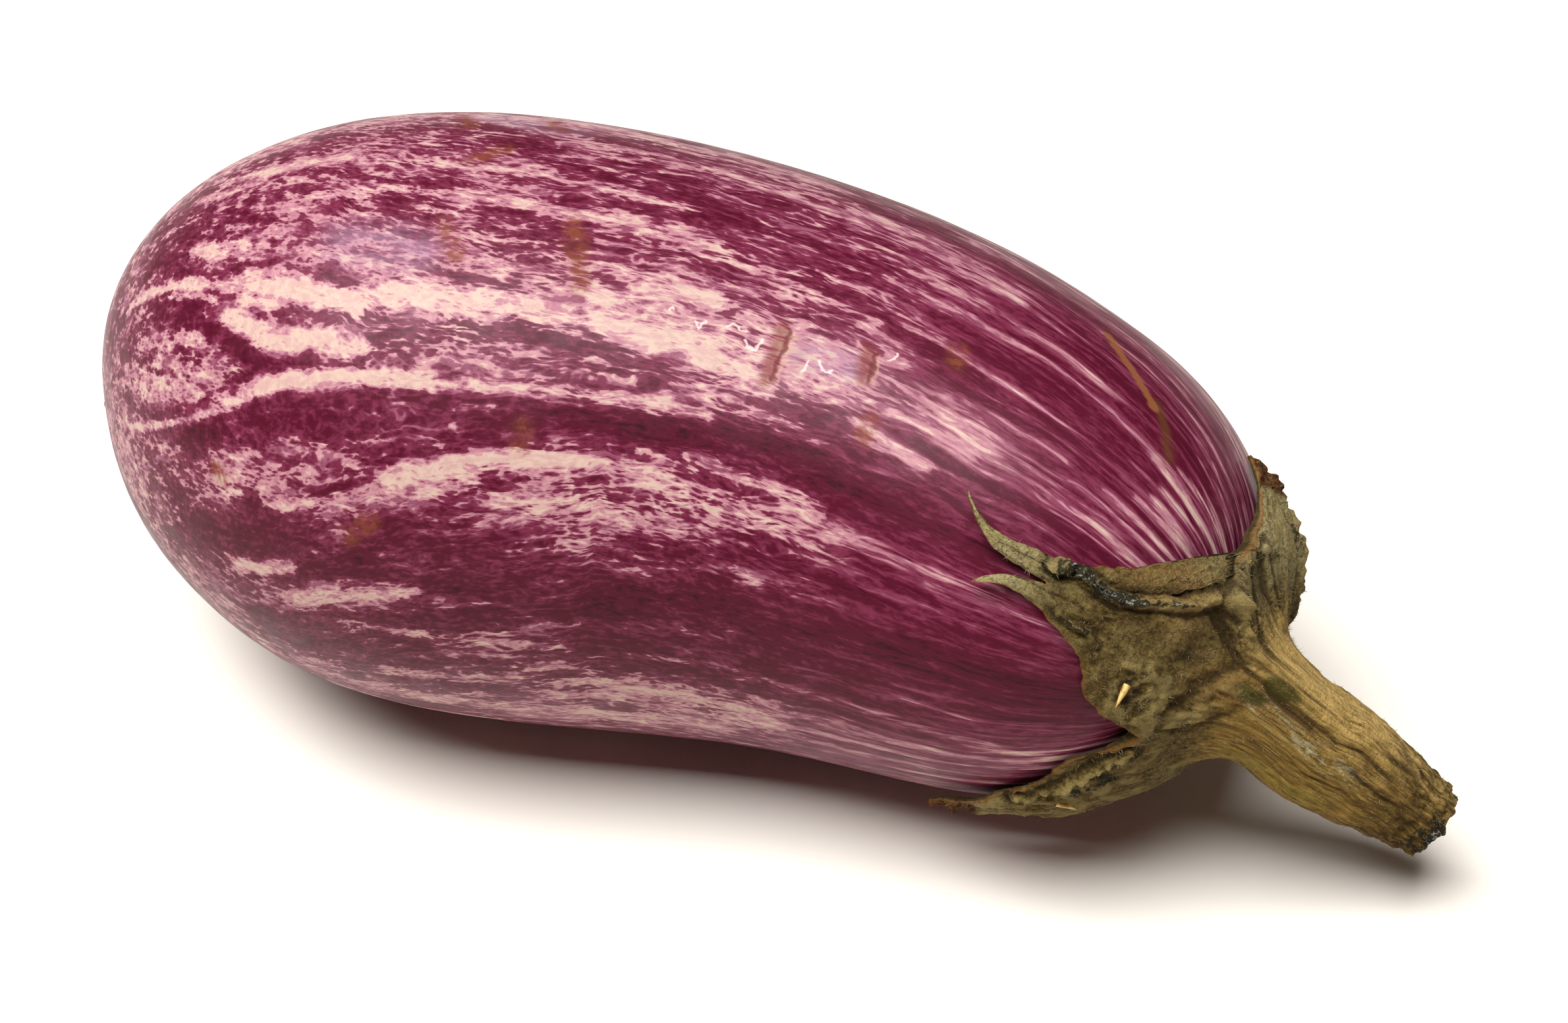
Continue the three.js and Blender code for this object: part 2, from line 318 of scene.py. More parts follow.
# %% [markdown]
# ## The body of the fruit
# An aubergine swells from the blossom end, is fattest before its middle, and slims towards the
# shoulder, and it grows along a bend. So its body is a round section swept along a curved
# centre line. A place on it is a share of the length, 0 at the blossom end and 1 at the stem,
# and an angle round it: 0 on the far side, 90 on top, 180 on the near side, 270 underneath.
# A lattice or sculpting could give such a shape too, but these few numbers are exact and can be
# asked for any place, which the skin's pattern and the calyx need later.

# %% Curves that many shapes below use
def smooth(start, stop, x):
    """A soft step from 0 at start to 1 at stop."""
    t = np.clip((x - start) / (stop - start), 0, 1)
    return t * t * (3 - 2 * t)


def bell(gap, width):
    """1 at no gap, a third at a gap of the width, and almost 0 at twice the width."""
    return np.exp(-(gap / width) ** 2)


def unit(v):
    return v / np.linalg.norm(v, axis=-1, keepdims=True)


# %% Centre line
FRUIT_LENGTH = 168.3
HEADING = (-27.9, 28.1)  # degrees to the side, at the blossom end and at the stem
DROOP = (5.7, 0.6)  # degrees downwards
SWAY, SWAY_START, SWAY_LENGTH = 2.75, 0.057, 0.58  # degrees to each side, and shares of the length
LINE_STEPS = 400


def direction(share):
    """Which way the centre line runs."""
    sway = SWAY * np.sin(2 * np.pi * (share - SWAY_START) / SWAY_LENGTH)
    heading = np.radians(HEADING[0] + (HEADING[1] - HEADING[0]) * share + sway)
    droop = np.radians(DROOP[0] + (DROOP[1] - DROOP[0]) * share)
    return np.stack([np.cos(heading) * np.cos(droop), -np.sin(heading) * np.cos(droop), -np.sin(droop)], -1)


steps = direction((np.arange(LINE_STEPS) + 0.5) / LINE_STEPS) * FRUIT_LENGTH / LINE_STEPS
centre_line = np.vstack([[0, 0, 0], np.cumsum(steps, axis=0)])
print("chord of the centre line:", round(float(np.linalg.norm(centre_line[-1])), 1), "mm")

# %% Girth, and points on the skin
FAT_RADIUS, SLIM_RADIUS = 43.7, 38.3
DOME_END, DOME_START, TAPER_END = 0.361, 0.586, 0.828  # shares of the length
BLOSSOM_POWER, SHOULDER_POWER = 2.23, 2.69  # 2 would make the end a plain oval, more is blunter


def girth(share):
    """The fruit's radius, in millimetres."""
    radius = FAT_RADIUS + (SLIM_RADIUS - FAT_RADIUS) * smooth(DOME_END, TAPER_END, share)
    blossom = 1 - (1 - np.clip(share / DOME_END, 0, 1)) ** BLOSSOM_POWER
    shoulder = 1 - np.clip((share - DOME_START) / (1 - DOME_START), 0, 1) ** SHOULDER_POWER
    return radius * blossom ** (1 / BLOSSOM_POWER) * np.maximum(shoulder, 0) ** (1 / SHOULDER_POWER)


def away(share, angle):
    """The unit vector that points out of the centre line at an angle in degrees."""
    along = direction(share)
    side = unit(np.cross([0, 0, 1], along))
    rise = np.cross(along, side)
    turn = np.radians(angle)[..., None]
    return side * np.cos(turn) + rise * np.sin(turn)


def on_table(place, table):
    """The points at whole and broken places of a table of points."""
    return np.stack([np.interp(place, np.arange(len(table)), axis) for axis in table.T], -1)


def skin(share, angle):
    return on_table(share * LINE_STEPS, centre_line) + away(share, angle) * girth(share)[..., None]


SHORT_STEP = 1e-4  # along the fruit, to find which way the skin runs


def above(share, angle, height):
    """The point at a height over the skin, measured square to it."""
    along = skin(share, angle) - skin(share - SHORT_STEP, angle)
    return skin(share, angle) + unit(np.cross(away(share, angle + 90), along)) * height[..., None]


print("fattest:", round(2 * float(girth(np.array([DOME_END]))[0]), 1), "mm")

# %% [markdown]
# The plain solid already says where the fruit lies, so the fine one is moved until its box is
# the same. The rings stand at even steps over the skin. Even steps along the centre line would
# leave the round ends with too few.

# %% Rings at even steps over the skin
RINGS, SECTORS = 262, 336
TIP_GAP = 0.5  # from a tip of the fruit to its nearest ring, mm
CLEARANCE = 0.02  # how far the fine model stays inside the plain one, mm


def all_round(count):
    """Evenly spaced angles, in degrees."""
    return 360 * np.arange(count) / count


fine = (1 - np.cos(np.linspace(0, np.pi, 4001))) / 2
travel = np.concatenate([[0], np.cumsum(np.hypot(np.diff(fine) * FRUIT_LENGTH, np.diff(girth(fine))))])
ring_share = np.interp(np.linspace(TIP_GAP, travel[-1] - TIP_GAP, RINGS), travel, fine)
share_grid, angle_grid = np.meshgrid(ring_share, all_round(SECTORS), indexing="ij")
body = skin(share_grid, angle_grid)
box_low, box_high = (np.array(corner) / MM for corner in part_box("fruit"))
shift = (box_low + box_high) / 2 - (body.reshape(-1, 3).min(0) + body.reshape(-1, 3).max(0)) / 2
shift[2] = box_high[2] - body[..., 2].max() - CLEARANCE
print("skin length from end to end:", round(float(travel[-1]), 1), "mm; moved by", shift.round(2))

# %% [markdown]
# ## Relief of the skin
# The skin is not a perfect surface. It rises and sinks very slightly over every few
# centimetres, two short dents cross its top where a finger or a crate edge pressed it, and a
# shallow furrow runs in from the blossom end where two growing halves met. These are real
# shapes, so they go into the mesh and not only into the finish. A displacement modifier could
# do the same from a texture, but a sum of a few terms says what each one is for.

# %% Noise at points, and distance from a line
def noise_at(points, size, seed):
    """Smooth noise, about -1 to 1, whose lumps are of the given size in millimetres."""
    start = Vector((17.3, 5.1, 9.7)) * seed
    flat = points.reshape(-1, 3) / size
    return np.array([noise.noise(Vector(p) + start) for p in flat.tolist()]).reshape(points.shape[:-1])


def ridged(points, size, seed, height):
    """The same noise folded over at its middle: sharp ridges between rounded hollows."""
    return height - np.abs(noise_at(points, size, seed))


def from_line(x, y, line):
    """How far places on a flat chart are from a line through some points, and how far along it."""
    best = np.full(np.shape(x), 1e9)
    part = np.zeros(np.shape(x))
    for i, ((x0, y0), (x1, y1)) in enumerate(zip(line, line[1:])):
        long = (x1 - x0) ** 2 + (y1 - y0) ** 2
        t = np.clip(((x - x0) * (x1 - x0) + (y - y0) * (y1 - y0)) / long, 0, 1)
        gap = np.hypot(x - x0 - t * (x1 - x0), y - y0 - t * (y1 - y0))
        part = np.where(gap < best, (i + t) / (len(line) - 1), part)
        best = np.minimum(gap, best)
    return best, part


DEGREE = 0.72  # millimetres of skin to a degree, on the flat chart of the fruit


def on_chart(line):
    return [(share * FRUIT_LENGTH, angle * DEGREE) for share, angle in line]


# %% Dents, furrow and slow waves
SKIN_WAVES = [(0.14, 16, 1), (0.03, 3.5, 2)]  # height and size in mm, and a seed
DENTS = [  # line over the skin, width and depth in mm
    ([(0.613, 109.5), (0.6125, 120)], 1.2, 0.15), ([(0.689, 107.5), (0.696, 113)], 1.1, 0.1),
]
FURROW = [(0.06, 140), (0.12, 135), (0.2, 129)]
FURROW_DEPTH, FURROW_WIDTH = 0.5, 2.2

chart_x, chart_y = share_grid * FRUIT_LENGTH, angle_grid * DEGREE
relief = -sum(height * (1 + noise_at(body, size, seed)) for height, size, seed in SKIN_WAVES)
for line, width, depth in DENTS:
    gap, _ = from_line(chart_x, chart_y, on_chart(line))
    relief -= depth * bell(gap, width)
gap, part = from_line(chart_x, chart_y, on_chart(FURROW))
relief -= FURROW_DEPTH * bell(gap, FURROW_WIDTH) * np.sin(np.pi * part) ** 2
print("relief runs from", round(float(relief.min()), 2), "to", round(float(relief.max()), 2), "mm")

# %% [markdown]
# ## Where the streaks run
# The colour lies in streaks that fan out from the blossom scar, run along the fruit and meet
# again under the calyx. The scar isn't at the tip of the fruit but lower, round the far side,
# so near that end the streaks bend towards it. Each point of the skin therefore gets a streak
# angle, which stays the same along a streak, and a distance from the scar. The finish then
# only has to stretch its noise along that distance. The distance runs faster near the scar,
# because the flecks there are nearly round, and they lengthen into streaks towards the stem.

# %% Streak angle and distance from the scar
SCAR_SHARE, SCAR_ANGLE = 0.083, 321.6
SCAR_OFFSET = 30.3  # millimetres from the centre line
STREAK_RADIUS = 42
# Pull and slant are largest at the blossom end and have faded out at a share of the length.
PULL, PULL_END, PULL_POWER = 56, 0.48, 3.26  # towards the scar, mm
SLANT, SLANT_END, SLANT_POWER = 10.9, 0.471, 0.62  # of the streaks on the near side, degrees
NEAR_SIDE = (114, 158, 220, 330)  # degrees at which it begins, is full, starts to fade, and ends
EVEN_PACE = 0.45  # of the noise along the streaks, far from the scar
HEAD_START, HEAD_REACH = 132, 55  # what it gains near the scar, and over which distance, mm


def from_centre(radius, angle, pull):
    """A place on a ring's plane, seen from a point that is pulled towards the scar."""
    turn, towards = np.radians(angle), math.radians(SCAR_ANGLE)
    return radius * np.cos(turn) - pull * math.cos(towards), radius * np.sin(turn) - pull * math.sin(towards)


def fading(share, end, power):
    """1 at the blossom end, and 0 from a share of the length on."""
    return np.clip(1 - share / end, 0, 1) ** power


def streak_places(share, angle, travelled):
    radius = girth(share)
    across, rise = from_centre(radius, angle, PULL * fading(share, PULL_END, PULL_POWER))
    streak = np.degrees(np.arctan2(rise, across)) % 360
    begins, full, fades, ends = NEAR_SIDE
    near_side = smooth(begins, full, streak) * (1 - smooth(fades, ends, streak))
    slant = SLANT * fading(share, SLANT_END, SLANT_POWER) * near_side
    streak = np.radians(streak - slant)
    from_scar = np.hypot(*from_centre(radius, angle, SCAR_OFFSET)) + travelled - radius
    from_scar = EVEN_PACE * from_scar + HEAD_START * (1 - np.exp(-from_scar / HEAD_REACH))
    return np.stack([STREAK_RADIUS * np.cos(streak), STREAK_RADIUS * np.sin(streak), from_scar], -1)


streaks = streak_places(share_grid, angle_grid, np.interp(share_grid, fine, travel))
print("streaks run up to", round(float(streaks[..., 2].max()), 1), "mm from the scar")

# %% [markdown]
# ## Where the skin is pale
# Pale streaks are not spread evenly. They gather in bands, some long and thin, some broad and
# blotchy, with deep purple between them. Each band is a line over the skin with a width and a
# strength, as a painter would block it in before any detail. A negative strength keeps a
# place dark. A few broad bands also carry painted light: pale ones under the long highlight
# and along the top edge are partly painted highlight and painted reflection, and wide dark ones
# on the near side low down are painted shade. The jagged edges come later, from the finish.

# %% Bands on the top and the near side
PALE_BANDS = [
    # clear cream bands and thin streaks: line, half width in mm, strength
    ([(0.032, 98), (0.05, 102), (0.092, 109.5), (0.132, 113), (0.17, 115.5)], 1.1, 0.95),
    ([(0.17, 115.5), (0.203, 116.8), (0.24, 118.4), (0.267, 117.2), (0.301, 117.3), (0.34, 117.5)], 1.8, 1.1),
    ([(0.061, 107.8), (0.107, 114.8)], 0.6, 0.8),
    ([(0.132, 116.4), (0.164, 119)], 0.9, 0.9),
    ([(0.34, 117.5), (0.42, 117.5)], 2.2, 0.8),
    # a broad pale band under the long highlight: partly pink skin, partly painted highlight
    ([(0.36, 114), (0.5, 114.5), (0.6, 115.5), (0.68, 113)], 4.2, 0.62),
    ([(0.436, 112.4), (0.462, 111.7), (0.482, 109), (0.51, 108), (0.542, 108.4)], 1.6, 0.95),
    ([(0.44, 116.9), (0.472, 118.1), (0.528, 118), (0.56, 119.4), (0.61, 120.9)], 1.5, 1.1),
    ([(0.61, 121), (0.64, 120.5), (0.7, 121)], 0.9, 0.5),
    ([(0.12, 119.5), (0.141, 123), (0.167, 126.5), (0.195, 125.7), (0.221, 126), (0.247, 126.5)], 1.45, 1.15),
    ([(0.091, 97.3), (0.109, 101.5), (0.13, 102.4)], 1.4, 0.95),
    ([(0.151, 105), (0.175, 108), (0.2, 110.2)], 1.8, 0.5),
    ([(0.223, 110.5), (0.256, 111.5), (0.284, 111.9)], 0.7, 0.85),
    ([(0.141, 110.4), (0.168, 111.6)], 0.8, 0.85),
    ([(0.06, 72), (0.1, 80), (0.15, 86), (0.2, 89)], 1.0, 0.6),
    ([(0.11, 77), (0.15, 81), (0.21, 83)], 1.1, 0.85),
    ([(0.22, 85), (0.32, 87), (0.5, 89)], 0.8, 0.7),
    ([(0.19, 94), (0.25, 94), (0.33, 95), (0.45, 96), (0.62, 97)], 0.9, 0.65),
    ([(0.46, 99.1), (0.56, 99.6), (0.68, 100.8)], 0.5, 0.65),
    ([(0.26, 103), (0.36, 105), (0.5, 106)], 1.6, 0.5),
    ([(0.2, 100), (0.24, 101)], 1.0, 0.6),
    ([(0.02, 150), (0.055, 145.5), (0.09, 142.6), (0.124, 139.4), (0.153, 135.8)], 0.8, 1.0),
    ([(0.153, 135.6), (0.175, 134.1), (0.211, 133.2), (0.254, 132.1), (0.312, 131.9)], 1.3, 1.2),
    ([(0.312, 131.9), (0.4, 131), (0.52, 129.5)], 0.7, 1.0),
    ([(0.1, 137.5), (0.125, 135.5), (0.15, 133.5)], 0.5, 0.7),
    ([(0.502, 128.8), (0.529, 129), (0.563, 129.8)], 0.9, 0.95),
    ([(0.16, 159), (0.2, 157), (0.24, 155), (0.261, 153), (0.284, 149.8)], 0.9, 0.8),
    ([(0.284, 149.8), (0.325, 146.8), (0.36, 144), (0.45, 141)], 1.4, 1.05),
    ([(0.31, 151.5), (0.329, 150), (0.36, 147.3)], 0.7, 0.9),
    ([(0.42, 138.5), (0.458, 137.8), (0.52, 138.1), (0.588, 138), (0.66, 138.7), (0.7, 139.4)], 1.1, 0.85),
    ([(0.125, 177.5), (0.15, 175), (0.19, 171.5)], 0.9, 1.0),
    ([(0.18, 180), (0.22, 176), (0.26, 173), (0.31, 170)], 1.6, 0.8),
    ([(0.29, 180.5), (0.4, 179.5), (0.5, 179), (0.6, 178.5), (0.76, 180)], 0.7, 0.7),
    ([(0.76, 180), (0.84, 181.5), (0.9, 184), (0.97, 191)], 0.8, 0.6),
    ([(0.63, 157), (0.655, 157)], 1.0, 0.8),
    ([(0.7, 157), (0.8, 157.5)], 0.5, 0.55),
    ([(0.7, 121.5), (0.77, 123.5)], 1.3, 0.85),
    # fans of fine cream lines running in under the calyx
    ([(0.93, 85), (0.98, 82)], 0.6, 0.8),
    ([(0.91, 90), (0.95, 90), (0.98, 88)], 0.6, 0.8),
    ([(0.93, 94), (0.98, 93)], 0.5, 0.8),
    ([(0.93, 98), (0.98, 97)], 0.6, 0.8),
    ([(0.92, 102), (0.975, 101)], 0.5, 0.65),
    ([(0.9, 106), (0.97, 107)], 0.4, 0.5),
    ([(0.92, 50), (0.95, 51), (0.98, 47)], 0.5, 0.6),
    ([(0.93, 56), (0.98, 53)], 0.5, 0.6),
    ([(0.94, 61.5), (0.98, 60)], 0.4, 0.5),
    ([(0.94, 71), (0.975, 74)], 0.4, 0.5),
    # broad blotchy areas
    ([(0.04, 118.5), (0.076, 122.6), (0.104, 126.3)], 1.3, 0.62),
    ([(0.03, 130), (0.05, 134), (0.08, 135.5), (0.107, 134)], 3.0, 0.62),
    ([(0.01, 150), (0.015, 175), (0.03, 195)], 3.0, 0.45),
    ([(0.04, 178), (0.07, 168), (0.12, 158), (0.18, 152)], 2.0, 0.5),
    ([(0.17, 147), (0.2, 145.4), (0.242, 144.6)], 1.8, 0.42),
    ([(0.1, 156.5), (0.141, 152.5), (0.16, 156.5), (0.2, 153.5)], 2.2, 0.6),
    ([(0.44, 141), (0.491, 142.6), (0.563, 145.3), (0.592, 146.1)], 2.4, 0.82),
    ([(0.4, 146), (0.48, 147), (0.6, 147), (0.72, 146)], 5.0, 0.5),
    ([(0.38, 151), (0.46, 149), (0.56, 150)], 1.6, 0.8),
    ([(0.62, 144), (0.7, 147)], 2.0, 0.7),
    ([(0.4, 154), (0.5, 157), (0.6, 156)], 2.2, 0.4),
    ([(0.28, 193), (0.38, 191), (0.48, 188)], 1.2, 0.7),
    ([(0.42, 190), (0.5, 189), (0.6, 190), (0.68, 193)], 4.0, 0.62),
    ([(0.48, 187.5), (0.54, 189), (0.6, 190)], 1.5, 0.85),
    ([(0.26, 203.5), (0.38, 202), (0.5, 201.5), (0.62, 202.5)], 2.2, 0.7),
    ([(0.1, 208), (0.2, 205), (0.3, 204)], 1.8, 0.55),
    ([(0.04, 192), (0.08, 199), (0.14, 197)], 3.0, 0.5),
    ([(0.3, 124.5), (0.45, 124), (0.6, 125)], 2.6, 0.34),
    # partly painted highlight, where the sheen runs on towards the calyx
    ([(0.62, 108), (0.72, 112), (0.8, 115)], 3.4, 0.36),
    # along the top edge: partly cream skin, partly painted reflection of the bright surroundings
    ([(0.05, 63), (0.2, 63), (0.4, 62), (0.56, 64)], 4.0, 0.62),
    ([(0.3, 75), (0.5, 74), (0.75, 74)], 2.5, 0.35),
    ([(0.08, 88), (0.16, 97), (0.28, 101)], 5.5, 0.3),
    ([(0.3, 82), (0.5, 82), (0.68, 84)], 6.0, 0.14),
    # places that stay deep purple; the wide ones on the near side low down, from 152 to 192 degrees, are
    # painted shade
    ([(0.1, 121), (0.12, 124.5), (0.135, 127.4), (0.155, 130.8), (0.2, 130)], 1.2, -0.95),
    ([(0.155, 130.8), (0.141, 133.3), (0.121, 135.6), (0.091, 138.6)], 0.5, -0.8),
    ([(0.06, 112.5), (0.1, 118)], 1.8, -0.45),
    ([(0.06, 147.5), (0.106, 144.3), (0.159, 140.5), (0.208, 138), (0.284, 136.4), (0.42, 135),
      (0.8, 133)], 2.6, -0.62),
    ([(0.457, 133.4), (0.65, 132.9), (0.779, 130.9)], 2.6, -0.7),
    ([(0.17, 141), (0.26, 141.5)], 2.0, -0.4),
    ([(0.7, 130), (0.9, 128)], 5.5, -0.5),
    # these three paint the near side low down darker: painted shade
    ([(0.5, 168), (0.75, 168), (0.93, 166)], 7.5, -0.8),
    ([(0.3, 163), (0.5, 165)], 4.5, -0.55),
    ([(0.62, 154), (0.9, 152)], 3.5, -0.5),
    ([(0.78, 70), (0.92, 74)], 6.0, -0.35),
    ([(0.76, 90), (0.88, 96)], 6.0, -0.4),
    ([(0.74, 102), (0.88, 110)], 3.0, -0.3),
    # these two also paint the near side low down darker: painted shade
    ([(0.08, 170), (0.2, 166), (0.3, 162)], 4.0, -0.5),
    ([(0.15, 192), (0.3, 184)], 4.0, -0.45),
    ([(0.06, 93), (0.14, 95)], 3.0, -0.25),
    ([(0.42, 84), (0.8, 86)], 4.0, -0.15),
]
print(len(PALE_BANDS), "bands placed by hand")

# %% [markdown]
# The far side and the underside get the same kinds of bands, drawn at random with a fixed seed,
# so that the whole fruit looks like one plant and comes out the same each time.

# %% Bands on the far side and underneath
FAR_BANDS = 44
THIN_SHARE = 0.55

draw = np.random.default_rng(7)
for _ in range(FAR_BANDS):
    start = draw.uniform(0.08, 0.75)
    long = draw.uniform(0.06, 0.34)
    angle = draw.uniform(214, 414)
    drift = draw.uniform(-2.5, 2.5)
    line = [(start, angle), (start + long / 2, angle + drift), (min(start + long, 0.97), angle + drift / 2)]
    if draw.random() < THIN_SHARE:
        PALE_BANDS.append((line, draw.uniform(0.6, 1.8), draw.uniform(0.7, 1.0)))
    else:
        PALE_BANDS.append((line, draw.uniform(2.5, 5.0), draw.uniform(-0.5, 0.6)))
print(len(PALE_BANDS), "bands in all")

# %% Paleness at each point of the skin
BAND_CORE, BAND_EDGE = 0.2, 2.1  # times its width: a band is whole up to the first, gone at the second


def angle_gap(a, b):
    """How far an angle lies past another, from -180 to 180 degrees."""
    return (a - b + 180) % 360 - 180


def paleness(share, angle):
    light = np.zeros(share.shape)
    dark = np.zeros(share.shape)
    for line, width, strength in PALE_BANDS:
        middle = line[len(line) // 2][1]
        near = middle + angle_gap(angle, middle)
        gap, _ = from_line(share * FRUIT_LENGTH, near * DEGREE, on_chart(line))
        cover = abs(strength) * (1 - smooth(BAND_CORE * width, BAND_EDGE * width, gap))
        if strength > 0:
            light = np.maximum(light, cover)
        else:
            dark = np.maximum(dark, cover)
    return 0.72 * light + 0.68 * light ** 3 - dark  # the cube lifts strong bands more than faint ones


pale = paleness(share_grid, angle_grid)
print("share of the skin that is pale:", round(float((pale > 0.5).mean()), 3))

# %% [markdown]
# Each point of the body now moves out or in by its relief, square to the surface. Where the
# fruit presses on the table it is flattened, as the plain solid is.

# %% The fruit
along = unit(np.gradient(body, axis=0))
around = unit(np.roll(body, -1, axis=1) - np.roll(body, 1, axis=1))
outward = unit(np.cross(around, along))
fruit_points = body + outward * relief[..., None] + shift
fruit_points[..., 2] = np.maximum(fruit_points[..., 2], 0.0)
tips = skin(np.array([0.0, 1.0]), np.array([0.0, 0.0])) + shift

turn = np.radians(angle_grid)
place = np.stack([np.cos(turn), np.sin(turn), share_grid], -1)
fruit = mesh_piece("fruit_skin", with_ends(fruit_points, *tips), ring_faces(RINGS, SECTORS), {
    "streaks": with_ends(streaks, streaks[0].mean(0), streaks[-1].mean(0)),
    "pale": with_ends(pale, pale[0].mean(), pale[-1].mean()),
    "place": with_ends(place, [-0.7, 0.7, 0], [-0.7, 0.7, 1]),
})
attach(fruit, "root")
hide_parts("fruit")

# %% [markdown]
# ## The skin's finish
# Up close the stain sits in specks that merge, so the edge of a streak is lobed and crisp, and
# lone specks lie on the pale skin beside it. The specks are round at the blossom end, drawn out
# along the streaks in the middle, and give way to long soft lines near the stem. A plain noise
# would give soft clouds. Instead, the noise that lays out the patches is added to the distance
# from the middles of small Voronoi cells. Where the sum passes a threshold the edge follows the
# cells. Two ramps along the fruit say where the round specks and the long lines take over.

# %% Specks and streak noise
skin_finish, tree, skin_shader = new_finish("striped_skin")

streak_place = reading(tree, "streaks", "Vector")
pale_here = reading(tree, "pale")
around_place = in_three(reading(tree, "place", "Vector"))
near_tip = ramp_up(around_place["Z"], 0.24, 0.13)
near_stem = ramp_up(around_place["Z"], 0.6, 0.84)


def speck_gap(place, scale):
    """How far a point is from the middle of its speck, 0 in the middle to about 0.8."""
    return node("TexVoronoi", Vector=place, Scale=scale).outputs["Distance"]


wobble = shaken(stretched(streak_place, 0.5), 0.35, 1.0, (2.2, 2.2, 2.2))
wandering = vectors("ADD", streak_place, wobble)
round_place = object_place(tree, (400, 1000, 1000))  # slower lengthwise, for specks a little long

long_lines = grained(stretched(wandering, 0.05), 0.62, 3.0, 0.55)
patches = grained(stretched(wandering, 0.24), 0.38, 4.0, 0.62)
round_patches = grained(round_place, 0.4, 5.0, 0.7)
threads = grained(stretched(wandering, 0.16), 1.1, 3.0, 0.6)
flecks = grained(stretched(wandering, 0.6), 1.5, 3.0, 0.65)
drift = grained(stretched(streak_place, 0.3), 0.11, 2.0)

specks = blend_number(near_tip, speck_gap(stretched(wandering, 0.34), 1.35),
                      speck_gap(round_place, 1.0))
fine_specks = blend_number(near_tip, speck_gap(stretched(wandering, 0.36), 2.9),
                           speck_gap(round_place, 2.2))

# %% [markdown]
# The bands, the noise and the specks are added into one number, how bare of stain a place is.
# Above a threshold the skin is pale, below it deep purple. How pale it is comes from a second
# mix, so that mauve, pink and bare cream each have places of their own and don't line every
# streak like the heights on a map. Most steps are narrow, which keeps the edges crisp. Only
# near the stem does the edge open into a wide, soft one.

# %% How bare of stain a place is
SPECK_MIDDLE = 0.45  # the usual distance from the middle of a speck

speck_edge = summed(about_middle(specks, 0.36, SPECK_MIDDLE),
                    about_middle(fine_specks, 0.3, SPECK_MIDDLE))
speck_edge = times(speck_edge, ramp_up(near_stem, 0.0, 1.0, 1.0, 0.2))
patch = blend_number(near_tip, about_middle(patches, 1.35), about_middle(round_patches, 1.5))
patch = times(patch, ramp_up(near_stem, 0.0, 1.0, 1.0, 0.5))
thread = times(about_middle(threads, 0.8), ramp_up(near_tip, 0.0, 1.0, 1.0, 0.25))
long_line = summed(about_middle(long_lines, 1.6, 0.47), about_middle(pale_here, 0.12, -0.45))
long_line = times(near_stem, long_line)
bare = summed(patch, thread, speck_edge, long_line,
              about_middle(drift, 0.5), times(pale_here, 0.36))

# %% From stain to colour
ELSEWHERE = (31, 7, 53)  # far enough off for a noise that has nothing to do with the first

hue_noise = grained(stretched(vectors("ADD", wandering, ELSEWHERE), 0.35), 0.55, 4.0, 0.65)
round_hues = grained(vectors("ADD", round_place, ELSEWHERE), 0.5, 4.0, 0.65)
hue_noise = blend_number(near_tip, hue_noise, round_hues)
kind = summed(times(bare, 0.6), about_middle(hue_noise, 1.3), speck_edge,
              times(long_line, 0.6), times(pale_here, 0.2))

deep_tone = summed(bare, about_middle(flecks, 1.1))
soft_tone = summed(0.5, about_middle(flecks, 1.0))
# The darkest tone, 2E0813, shows where the dark bands push deepest. On the near side low down it is painted
# shade.
deep = two_tones(deep_tone, -0.7, -0.3, "2E0813", "460D1F")
deep = layered(deep, [(ramp_up(deep_tone, -0.25, 0.22), "66253B")])
mauve = two_tones(soft_tone, 0.3, 0.7, "6F3648", "824C5E")
pink = two_tones(soft_tone, 0.35, 0.65, "945F6E", "A6797D")
cream = two_tones(soft_tone, 0.35, 0.65, "A88781", "B2998C")

pale_colour = blend(ramp_up(kind, 0.17, 0.31), mauve, pink)
pale_colour = blend(ramp_up(kind, 0.43, 0.57), pale_colour, cream)
edge = blend_number(near_stem, ramp_up(bare, 0.1, 0.2), ramp_up(bare, 0.0, 0.42))
colour_now = blend(edge, deep, pale_colour)

# %% [markdown]
# ## Marks of handling
# A tan scratch runs across the skin near the calyx, the dents are bruised brown with painted
# shade beside them and a painted highlight on their lips, a few soft brown spots show where
# other fruit rubbed, and pale curled strokes beside the dents are painted glints. A painted
# picture could hold such marks, but it would blur up close. Here a mark is a stroke between
# two places, so a node group measures how far a point is from that stroke, and every mark uses
# the same group.

# %% A group that draws one stroke
def stroke_group():
    group = bpy.data.node_groups.new("stroke", "ShaderNodeTree")
    for name, kind in (("Chart", "Vector"), ("From", "Vector"), ("To", "Vector"),
                       ("Inner", "Float"), ("Outer", "Float")):
        group.interface.new_socket(name, in_out="INPUT", socket_type="NodeSocket" + kind)
    group.interface.new_socket("Cover", in_out="OUTPUT", socket_type="NodeSocketFloat")
    given = group.nodes.new("NodeGroupInput").outputs
    reach = vectors("SUBTRACT", given["To"], given["From"])
    offset = vectors("SUBTRACT", given["Chart"], given["From"])
    dots = [node("VectorMath", {"operation": "DOT_PRODUCT"}, i0=a, i1=reach).outputs["Value"]
            for a in (offset, reach)]
    part = node("Math", {"operation": "DIVIDE", "use_clamp": True}, i0=dots[0], i1=dots[1]).outputs[0]
    nearest = node("VectorMath", {"operation": "SCALE"}, i0=reach, Scale=part).outputs[0]
    gap = node("VectorMath", {"operation": "DISTANCE"}, i0=offset, i1=nearest).outputs["Value"]
    cover = ramp_up(gap, given["Inner"], given["Outer"], 1.0, 0.0)
    group.links.new(cover, group.nodes.new("NodeGroupOutput").inputs["Cover"])
    return group


stroke = stroke_group()

